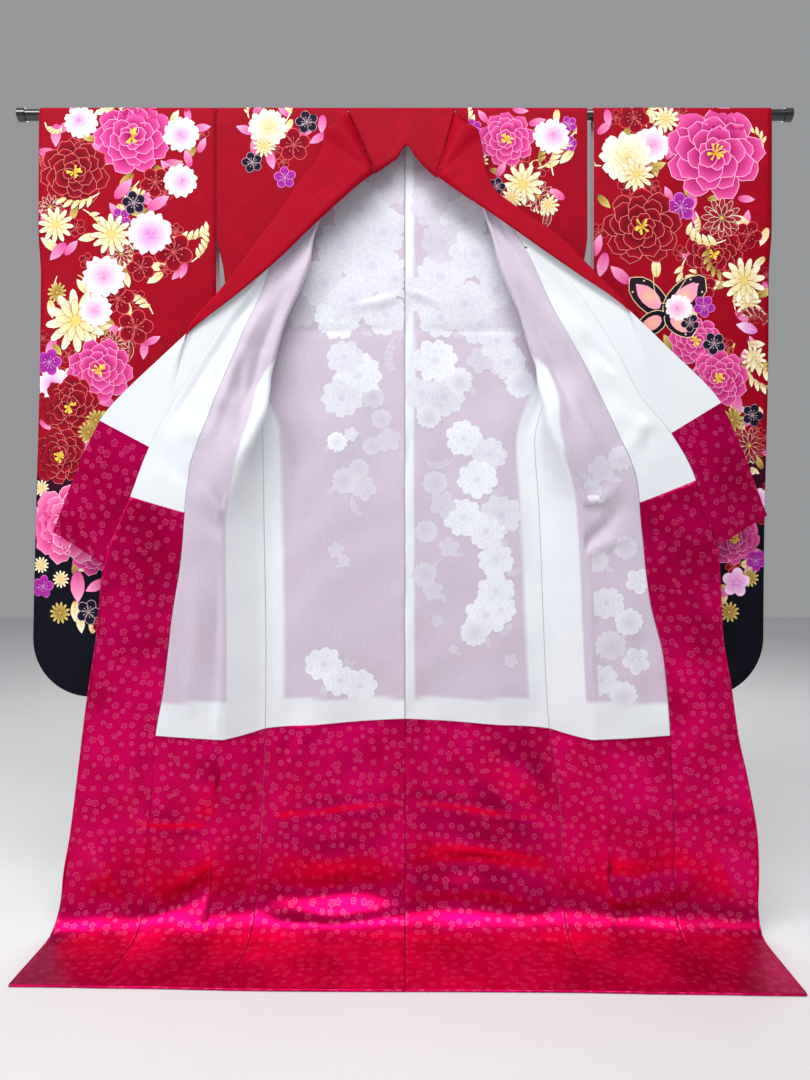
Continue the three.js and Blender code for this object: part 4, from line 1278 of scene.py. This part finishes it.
# Each flower: kind, lateral, length below the rod's axis, radius, palette, order of laying.
SLEEVE_FRONT = {
    "left": [
        ("pompon", 594, 20, 31, "blush", 2), ("peony", 500, 46, 70, "magenta", 1),
        ("pompon", 410, 42, 33, "blush", 2), ("leaf", 372, 30, 17, "petalpink", 0),
        ("leaf", 372, 62, 16, "petalpink", 0), ("leaf", 398, 86, 17, "petalpink", 0),
        ("leaf", 640, 44, 22, "petalpink", 0), ("leaf", 654, 76, 20, "petalpink", 0),
        ("leaf", 562, 62, 20, "petalpink", 0), ("scroll", 660, 20, 26, "cream", 0),
        ("peony", 606, 112, 62, "deep", 2), ("pompon", 412, 128, 31, "blush", 3),
        ("ume", 458, 130, 29, "red", 2), ("leaf", 516, 142, 24, "petalpink", 1),
        ("ume", 497, 168, 23, "black", 4), ("leaf", 452, 168, 24, "petalpink", 1),
        ("ume", 522, 196, 20, "purple", 2), ("scroll", 560, 150, 44, "cream", 3),
        ("scroll", 590, 180, 40, "cream", 3), ("kiku", 640, 208, 34, "cream", 3),
        ("kiku", 650, 176, 24, "outline", 2), ("pompon", 468, 224, 41, "lilac", 5),
        ("kiku", 538, 226, 40, "cream", 4), ("kiku", 520, 262, 24, "outline", 3),
        ("ume", 424, 258, 37, "red", 3), ("ume", 484, 286, 28, "red", 2),
        ("leaf", 638, 256, 22, "petalpink", 1), ("leaf", 612, 250, 18, "petalpink", 1),
        ("pompon", 552, 304, 39, "blush", 5), ("scroll", 640, 300, 42, "cream", 2),
        ("scroll", 600, 300, 40, "gold", 2), ("kiku", 604, 384, 60, "cream", 4),
        ("pompon", 566, 366, 30, "blush", 5), ("ume", 526, 344, 32, "red", 3),
        ("ume", 494, 396, 34, "red", 4), ("scroll", 462, 372, 42, "cream", 2),
        ("leaf", 462, 420, 16, "petalpink", 2), ("leaf", 478, 438, 18, "petalpink", 2),
        ("leaf", 652, 360, 18, "cream", 2), ("kiku", 640, 330, 20, "gold", 3),
        ("peony", 560, 474, 60, "magenta", 4), ("ume", 656, 458, 26, "purple", 3),
        ("pompon", 648, 496, 30, "lilac", 2), ("kiku", 532, 426, 26, "outline", 3),
        ("leaf", 506, 440, 20, "outline", 2), ("peony", 616, 540, 58, "deep", 5),
        ("kiku", 566, 566, 20, "gold", 6), ("leaf", 552, 530, 22, "petalpink", 2),
        ("peony", 636, 632, 54, "deep", 6), ("kiku", 580, 588, 21, "gold", 7),
        ("kiku", 672, 690, 16, "cream", 3), ("peony", 616, 758, 76, "rose", 5),
        ("leaf", 672, 742, 26, "petalpink", 4), ("leaf", 664, 784, 24, "petalpink", 4),
        ("peony", 560, 800, 56, "magenta", 4), ("leaf", 600, 872, 30, "petalpink", 6),
        ("kiku", 672, 832, 16, "cream", 5), ("kiku", 632, 858, 17, "cream", 7),
        ("ume", 668, 872, 22, "purple", 6), ("leaf", 566, 870, 22, "petalpink", 5),
        ("kiku", 634, 920, 21, "gold", 5), ("ume", 580, 918, 24, "black", 5),
        ("kiku", 520, 700, 24, "cream", 3), ("ume", 500, 760, 24, "purple", 3),
        ("kiku", 486, 840, 20, "gold", 3), ("pompon", 530, 640, 30, "blush", 3),
    ],
    "right": [
        ("leaf", 366, 30, 18, "petalpink", 0), ("pompon", 404, 84, 48, "cream", 2),
        ("pompon", 452, 62, 34, "blush", 1), ("ume", 420, 12, 30, "red", 1),
        ("leaf", 372, 12, 17, "petalpink", 2), ("kiku", 478, 14, 26, "cream", 2),
        ("kiku", 424, 116, 34, "cream", 3), ("scroll", 360, 100, 30, "cream", 1),
        ("peony", 568, 78, 88, "magenta", 3), ("ume", 506, 176, 28, "purple", 2),
        ("peony", 434, 212, 72, "deep", 4), ("leaf", 352, 246, 22, "petalpink", 2),
        ("leaf", 362, 282, 24, "petalpink", 3), ("leaf", 394, 300, 24, "petalpink", 3),
        ("kiku", 580, 196, 38, "outline", 5), ("scroll", 588, 236, 50, "cream", 4),
        ("scroll", 560, 240, 40, "gold", 4), ("peony", 566, 262, 52, "deep", 2),
        ("ume", 630, 226, 26, "red", 2), ("kiku", 622, 310, 44, "cream", 5),
        ("kiku", 630, 350, 28, "cream", 4), ("ume", 546, 322, 26, "red", 1),
        ("butterfly", 478, 372, 76, "black", 3), ("pompon", 502, 360, 25, "blush", 5),
        ("ume", 548, 358, 21, "purple", 4), ("ume", 522, 388, 18, "black", 5),
        ("peony", 532, 420, 46, "magenta", 2), ("ume", 566, 426, 22, "black", 6),
        ("scroll", 606, 380, 46, "outline", 5), ("scroll", 630, 420, 50, "cream", 5),
        ("kiku", 642, 452, 26, "cream", 4), ("peony", 576, 490, 54, "magenta", 4),
        ("leaf", 540, 470, 18, "petalpink", 2), ("leaf", 628, 396, 22, "lilac", 4),
        ("leaf", 610, 540, 22, "petalpink", 3), ("kiku", 600, 566, 24, "gold", 6),
        ("kiku", 634, 612, 34, "outline", 5), ("ume", 640, 556, 22, "black", 4),
        ("peony", 570, 640, 50, "deep", 3), ("scroll", 632, 650, 34, "gold", 5),
        ("pompon", 650, 712, 24, "lilac", 4), ("peony", 604, 784, 50, "magenta", 4),
        ("leaf", 640, 760, 20, "petalpink", 3), ("ume", 648, 824, 21, "purple", 5),
        ("ume", 608, 864, 28, "lilac", 6), ("kiku", 636, 856, 18, "gold", 5),
        ("leaf", 590, 880, 17, "petalpink", 5), ("kiku", 595, 918, 20, "gold", 5),
        ("peony", 528, 730, 50, "rose", 3), ("kiku", 500, 640, 22, "cream", 3),
        ("ume", 470, 560, 24, "black", 3), ("kiku", 540, 860, 20, "gold", 3),
    ],
}
BODY_FRONT = {
    "left": [("pompon", 252, 30, 36, "cream", 3), ("leaf", 292, 34, 19, "petalpink", 1),
             ("ume", 180, 20, 22, "black", 4), ("leaf", 152, 24, 18, "petalpink", 1),
             ("leaf", 160, 50, 18, "petalpink", 1), ("ume", 204, 62, 32, "red", 2),
             ("ume", 280, 94, 20, "black", 4), ("ume", 220, 122, 21, "purple", 4),
             ("leaf", 246, 88, 20, "petalpink", 2), ("leaf", 276, 64, 18, "petalpink", 1),
             ("kiku", 258, 64, 22, "cream", 4), ("scroll", 286, 12, 24, "cream", 0)],
    "right": [("ume", 124, 30, 17, "purple", 3), ("peony", 186, 52, 52, "magenta", 2),
              ("pompon", 268, 46, 33, "blush", 3), ("kiku", 120, 60, 18, "cream", 2),
              ("kiku", 136, 92, 18, "cream", 3), ("ume", 168, 138, 17, "black", 5),
              ("kiku", 216, 134, 40, "cream", 4), ("kiku", 196, 160, 22, "cream", 5),
              ("kiku", 244, 156, 30, "outline", 3), ("leaf", 176, 166, 14, "petalpink", 3),
              ("scroll", 272, 118, 44, "cream", 2), ("scroll", 250, 106, 36, "gold", 1),
              ("kiku", 262, 172, 22, "cream", 3), ("leaf", 260, 200, 17, "outline", 2),
              ("leaf", 296, 84, 18, "cream", 2), ("ume", 300, 24, 16, "purple", 2),
              ("ume", 302, 60, 15, "purple", 2)],
}


BODY_BACK = {
    "left": [("peony", 60, 60, 58, "magenta", 3), ("pompon", 130, 46, 34, "blush", 2),
             ("ume", 170, 90, 26, "red", 2), ("kiku", 110, 118, 34, "cream", 4),
             ("peony", 176, 168, 50, "deep", 3), ("leaf", 210, 120, 22, "petalpink", 1),
             ("ume", 120, 176, 20, "black", 4), ("scroll", 230, 180, 44, "cream", 2),
             ("pompon", 236, 60, 30, "blush", 2), ("kiku", 214, 224, 30, "gold", 3),
             ("peony", 210, 1120, 60, "magenta", 3), ("pompon", 150, 1166, 36, "blush", 4),
             ("peony", 190, 1230, 64, "deep", 2), ("kiku", 120, 1240, 40, "cream", 4),
             ("ume", 90, 1180, 26, "red", 2), ("leaf", 240, 1180, 26, "petalpink", 1),
             ("peony", 110, 1320, 58, "rose", 3), ("ume", 190, 1320, 26, "purple", 4),
             ("scroll", 60, 1260, 50, "gold", 1), ("kiku", 220, 1370, 34, "cream", 3),
             ("ume", 50, 1350, 24, "black", 3), ("leaf", 160, 1390, 24, "petalpink", 2)],
    "right": [("peony", 64, 70, 52, "deep", 3), ("pompon", 140, 60, 38, "blush", 3),
              ("peony", 200, 100, 54, "magenta", 2), ("kiku", 128, 130, 32, "cream", 4),
              ("ume", 90, 160, 24, "red", 3), ("leaf", 170, 170, 22, "petalpink", 1),
              ("scroll", 220, 180, 46, "gold", 2), ("ume", 240, 40, 22, "purple", 3),
              ("peony", 80, 1180, 62, "deep", 3), ("pompon", 150, 1130, 38, "blush", 3),
              ("peony", 200, 1200, 58, "magenta", 4), ("kiku", 140, 1262, 38, "cream", 4),
              ("ume", 216, 1290, 26, "red", 3), ("peony", 70, 1320, 54, "magenta", 2),
              ("leaf", 40, 1240, 24, "petalpink", 1), ("scroll", 180, 1340, 50, "cream", 2),
              ("ume", 130, 1380, 24, "purple", 4), ("kiku", 230, 1380, 28, "gold", 3)],
}


def filled(flowers, seed):
    """Adds leaves and sprays beneath the larger flowers, so that they stand in clusters."""
    rng = np.random.default_rng(seed)
    below = []
    for kind, x, y, size, _palette, _order in flowers:
        if kind in ("leaf", "scroll", "butterfly") or size < 23:
            continue
        for _ in range(4):
            angle, reach = rng.uniform(0, 6.28), size * rng.uniform(1.02, 1.2)
            tone = ("petalpink", "cream", "petalpink", "gold", "red")[rng.integers(5)]
            below.append(("ume" if tone == "red" else "leaf", x + reach * math.cos(angle),
                          y + reach * math.sin(angle), rng.uniform(13, 21), tone, 0))
        if rng.random() < 0.6:
            angle = rng.uniform(0, 6.28)
            below.append(("scroll", x + size * math.cos(angle), y + size * math.sin(angle),
                          rng.uniform(30, 46), "cream", 0.5))
    return below + flowers


def turned(flowers):
    """The sleeve's front flowers carried over the fold to its back."""
    return [(kind, x, 2 * RIDGE - y, size, palette, order) for kind, x, y, size, palette, order in flowers]


OUTER_LIFT = WALL / 2 + 0.32  # print over the middle of the outer cloth
LINING_LIFT = 1.72  # and over the lining
ORDER_RISE = 0.14  # between one order of laying and the next


def printed(name, flowers, to_cloth, seed, declare_on, lift=OUTER_LIFT, material=PRINT,
            slot="outer_cloth"):
    """Lays the flowers on a piece of cloth. to_cloth gives points and outward normals in mm."""
    rng = np.random.default_rng(seed)
    ink = Print()
    for number, (kind, x, y, size, palette, order) in enumerate(flowers):
        ink.base = order * ORDER_RISE + 0.0007 * (number % 190)
        KINDS[kind](ink, x, y, size, palette, rng)
    at, level = np.concatenate(ink.at), np.concatenate(ink.level)
    points, outward = to_cloth(at[:, 0], at[:, 1])
    points = points + outward * (lift + level)[:, None]
    mesh = bpy.data.meshes.new(name)
    mesh.from_pydata(points * 0.001, [], ink.faces)
    mesh.shade_smooth()
    paint_vertices(mesh, linear_all(np.concatenate(ink.tint)))
    mesh.materials.append(material)
    obj = add(name, mesh)
    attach(obj, "root")
    declare_on.append(obj)


def sleeve_cloth(side):
    """Panel coordinates (lateral, length) to the sleeve's surface and its outward normals."""
    def points(x, length):
        drop = np.where(length >= RIDGE, length, 2 * RIDGE - length)
        reach = sleeve_outer(side, np.clip(drop, -18, SLEEVE_DROP - 2)) - SLEEVE_INNER
        share = np.clip((x - SLEEVE_INNER) / reach, 0.003, 0.997)
        return sleeve_points(side, share, np.clip(length, 2 * RIDGE - 1074, 1074))

    def place(x, length):
        here = points(x, length)
        across, down = points(x + 1, length) - here, points(x, length + 1) - here
        normal = np.cross(across, down) * -side["sign"]
        norm = np.linalg.norm(normal, axis=1, keepdims=True)
        fallback = np.array([[0.0, -1.0, 0.0]]) * np.where(length >= RIDGE, 1, -1)[:, None]
        return here, np.where(norm > 1e-6, normal / np.maximum(norm, 1e-9), fallback)
    return place


def body_cloth(name, side, low, high, hidden, facing):
    """Panel coordinates (lateral, drop) to the body's surface between two places.

    hidden marks the cloth before the turn back, which has no creases and runs back toward the centre.
    facing is the sign along Y of the side that the flowers lie on."""
    samples = np.linspace(low, high, 34)
    drops = np.arange(1702.0)
    laterals = np.abs(body_points(side, samples[None, :] + 0 * drops[:, None],
                                  drops[:, None] + 0 * samples[None, :])[..., 0])
    if hidden:
        samples, laterals = samples[::-1], laterals[:, ::-1]

    def points(x, drop):
        row = np.clip(drop, 0, len(drops) - 1.001)
        index = row.astype(int)
        lateral = mix(laterals[index], laterals[index + 1], (row - index)[:, None])
        cell = np.clip((lateral < x[:, None]).sum(axis=1) - 1, 0, len(samples) - 2)
        each = np.arange(len(x))
        start, end = lateral[each, cell], lateral[each, cell + 1]
        share = np.clip((x - start) / np.where(np.abs(end - start) < 1e-6, 1, end - start), 0, 1)
        place = mix(samples[cell], samples[cell + 1], share)
        flat = body_points(side, place, drop)
        return flat if hidden else creased(name, side, flat, place, drop)

    def place(x, drop):
        here = points(x, drop)
        across, down = points(x + 1, drop) - here, points(x, drop + 1) - here
        normal = np.cross(across, down)
        norm = np.linalg.norm(normal, axis=1, keepdims=True)
        normal = normal / np.maximum(norm, 1e-9)
        flip = np.where(normal[:, 1] * facing < 0, -1.0, 1.0)
        fallback = np.array([0.0, facing, 0.0])
        return here, np.where(norm > 1e-4, normal * flip[:, None], fallback)
    return place


def ghosts(spots):
    """Flowers that show through the lining: the kind goes by their size, the palette by strength."""
    out = []
    for order, (x, y, radius, strength) in enumerate(spots):
        palette = "ghost" if strength > 0.7 else "haze" if strength > 0.5 else "mist"
        kind = "peony" if radius > 29 else "ume" if radius < 17 or order % 3 == 0 else "pompon"
        out.append((kind, x, y, radius, palette, 0.4 * (order % 4)))
        if order % 2 == 0:
            out.append(("leaf", x + radius, y + radius * 0.7, radius * 0.45, "mist", 0))
        if order % 5 == 0:
            out.append(("scroll", x - radius * 0.5, y + radius, radius, "mist", 0))
    return out


# ---------------------------------------------------------------- rolled edge of the hem
def tube(name, path, radius, material, sides=8):
    """A closed tube along a path of points in mm."""
    path = np.asarray(path)
    tangent = np.gradient(path, axis=0)
    tangent /= np.linalg.norm(tangent, axis=1, keepdims=True)
    guide = np.where(np.abs(tangent[:, 1:2]) > 0.9, [[0, 0, 1.0]], [[0, 1.0, 0]])
    across = np.cross(tangent, guide)
    across /= np.linalg.norm(across, axis=1, keepdims=True)
    up = np.cross(tangent, across)
    angles = np.arange(sides) / sides * 2 * math.pi
    ring = np.cos(angles)[None, :, None] * across[:, None] + np.sin(angles)[None, :, None] * up[:, None]
    grid = path[:, None] + radius * ring
    count = len(path)
    faces = [(i * sides + j, i * sides + (j + 1) % sides, (i + 1) * sides + (j + 1) % sides,
              (i + 1) * sides + j) for i in range(count - 1) for j in range(sides)]
    faces += [tuple(range(sides))[::-1], tuple((count - 1) * sides + j for j in range(sides))]
    mesh = bpy.data.meshes.new(name)
    mesh.from_pydata(grid.reshape(-1, 3) * 0.001, [], faces)
    mesh.shade_smooth()
    layer = mesh.uv_layers.new(name="UVMap")
    run = np.concatenate([[0], np.cumsum(np.linalg.norm(np.diff(path, axis=0), axis=1))])
    coords = np.stack([np.tile(angles * radius, count), np.repeat(run, sides)], 1) * 0.001
    index = np.empty(len(mesh.loops), int)
    mesh.loops.foreach_get("vertex_index", index)
    layer.data.foreach_set("uv", coords[index].ravel())
    paint_vertices(mesh, np.ones((len(mesh.vertices), 3)))
    mesh.materials.append(material)
    obj = add(name, mesh)
    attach(obj, "root")
    return obj


HEM_ROLL_RADIUS = 2.0


def hem_roll_piece(name, side):
    """The padded roll of hem lining that shows along the okumi's edge and the hem."""
    down = np.array(spread(side["collarEnd"] + 4, hem_drop(side, 3.0) - 8, 8))
    edge = body_points(side, np.full(len(down), 3.0), down)
    places = np.array(spread(2.985, 0.0, 0.02))
    hem = body_points(side, places, hem_drop(side, places))
    path = np.concatenate([edge, hem])
    path[:, 1] -= np.concatenate([np.full(len(edge), 0.6), np.full(len(hem), 0.0)])
    path[:, 2] += np.concatenate([np.zeros(len(edge)), np.full(len(hem), HEM_ROLL_RADIUS - 0.6)])
    return tube(f"{name}_hem_roll", path, HEM_ROLL_RADIUS, SATIN)


# ---------------------------------------------------------------- build the garment
PRINT_SEEDS = {"left": {"sleeve": 11, "front": 31}, "right": {"sleeve": 23, "front": 43}}
OTHER = {"left": "right", "right": "left"}

for name, side in SIDES.items():
    back_hem, front_hem, okumi_hem = (hem_drop(side, p) for p in (BACK_PLACES, FRONT_PLACES, OKUMI_PLACES))
    back_split, front_split = lining_hem(side, BACK_PLACES), lining_hem(side, FRONT_PLACES)
    okumi_divide = okumi_split(side, OKUMI_PLACES)
    okumi_top = side["tip"] + 1
    seeds = PRINT_SEEDS[name]

    sleeve_piece(name, side)
    on = SHEETS[-1]["with"]
    printed(f"{name}_sleeve_print", filled(SLEEVE_FRONT[name], 5), sleeve_cloth(side), seeds["sleeve"], on)
    printed(f"{name}_sleeve_back_print", turned(SLEEVE_FRONT[OTHER[name]]), sleeve_cloth(side), 57, on)

    outer_piece(name, side, "back", BACK_PLACES, SHOULDER_LINE, back_split, back_hem, (0.30, 1.68))
    printed(f"{name}_back_print", filled(BODY_BACK[name], 8),
            body_cloth(name, side, 0, 0.95, False, 1), 61, SHEETS[-1]["with"])
    outer_piece(name, side, "front", FRONT_PLACES, -HALF_WRAP - SHOULDER_LINE, front_split,
                front_hem, (0.25, 1.74))
    printed(f"{name}_front_print", filled(BODY_FRONT[name], 7),
            body_cloth(name, side, 1.15, 1.42, True, -1), seeds["front"], SHEETS[-1]["with"])
    outer_piece(name, side, "okumi", OKUMI_PLACES, okumi_top, okumi_divide, okumi_hem,
                (0.15, 1.44), area=0.19)

    lining_piece(name, side, "back_lining", BACK_PLACES, 30, back_split, LINING, (0.30, 1.10),
                 upper_paint(name, "back"))
    printed(f"{name}_back_lining_print", ghosts(BACK_FLOWERS[name]),
            body_cloth(name, side, 0.004, 0.9, False, -1), 71, SHEETS[-1]["with"], LINING_LIFT,
            SHADOW_PRINT, "white_lining")
    lining_piece(name, side, "back_hem_lining", BACK_PLACES, back_split, back_hem, SATIN, (0.30, 0.57))
    lining_piece(name, side, "front_lining", FRONT_PLACES, 110, front_split, LINING, (0.25, 1.04),
                 upper_paint(name, "front"), area=0.24)
    if name in FLAP_FLOWERS:
        printed(f"{name}_front_lining_print", ghosts(FLAP_FLOWERS[name]),
                body_cloth(name, side, 1.62, 1.995, False, -1), 83, SHEETS[-1]["with"], LINING_LIFT,
                SHADOW_PRINT, "white_lining")
    lining_piece(name, side, "front_hem_lining", FRONT_PLACES, front_split, front_hem, SATIN, (0.25, 0.55))
    lining_piece(name, side, "okumi_lining", OKUMI_PLACES, okumi_top, okumi_divide, LINING, (0.15, 0.46),
                 white_paint, area=0.035)
    lining_piece(name, side, "okumi_hem_lining", OKUMI_PLACES, okumi_divide, okumi_hem, SATIN,
                 (0.15, 0.97))
    collar_pieces(name, side)
    hem_roll_piece(name, side)
neck_piece()

for node in ("rod", "left_rod_cap", "right_rod_cap"):
    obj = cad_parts[node]
    obj.data.materials.clear()
    obj.data.materials.append(LACQUER)

# ---------------------------------------------------------------- stage, light and camera


FLOOR_Z = -FLOOR_DROP * 0.001 - 0.0005
FLOOR_REACH = 6
mesh = bpy.data.meshes.new("floor")
mesh.from_pydata([(x * FLOOR_REACH, y * FLOOR_REACH, FLOOR_Z)
                  for x, y in ((-1, -1), (1, -1), (1, 1), (-1, 1))], [], [(0, 1, 2, 3)])
mesh.materials.append(plain("pale_floor", (0.78, 0.79, 0.8, 1), 0.75))
add("floor", mesh)


def area_light(name, location, target, size, power):
    data = bpy.data.lights.new(name, "AREA")
    data.shape = "RECTANGLE"
    data.size, data.size_y = size
    data.energy = power
    obj = add(name, data)
    obj.location = location
    obj.rotation_euler = (Vector(target) - Vector(location)).to_track_quat("-Z", "Y").to_euler()


area_light("key_light", (-0.3, -1.9, 1.85), (0, 0, -1.1), (3.8, 0.9), 112)
area_light("side_light", (-2.3, -1.3, 0.1), (0, 0, -0.8), (0.7, 1.6), 20)
area_light("back_light", (0.5, 2.6, 1.4), (0, 0, -0.7), (2.4, 1.6), 40)

world = bpy.data.worlds.new("studio")
world.use_nodes = True
world.node_tree.nodes["Background"].inputs["Color"].default_value = (0.92, 0.94, 0.97, 1)
world.node_tree.nodes["Background"].inputs["Strength"].default_value = 0.33
bpy.context.scene.world = world

camera_data = bpy.data.cameras.new("camera")
camera_data.lens = 27.03
camera_data.sensor_width = 36
camera = add("camera", camera_data)
camera.location = (0, -1.5, -0.786)
camera.rotation_euler = (math.radians(90), 0, 0)
bpy.context.scene.camera = camera
bpy.context.scene.view_settings.view_transform = "Standard"
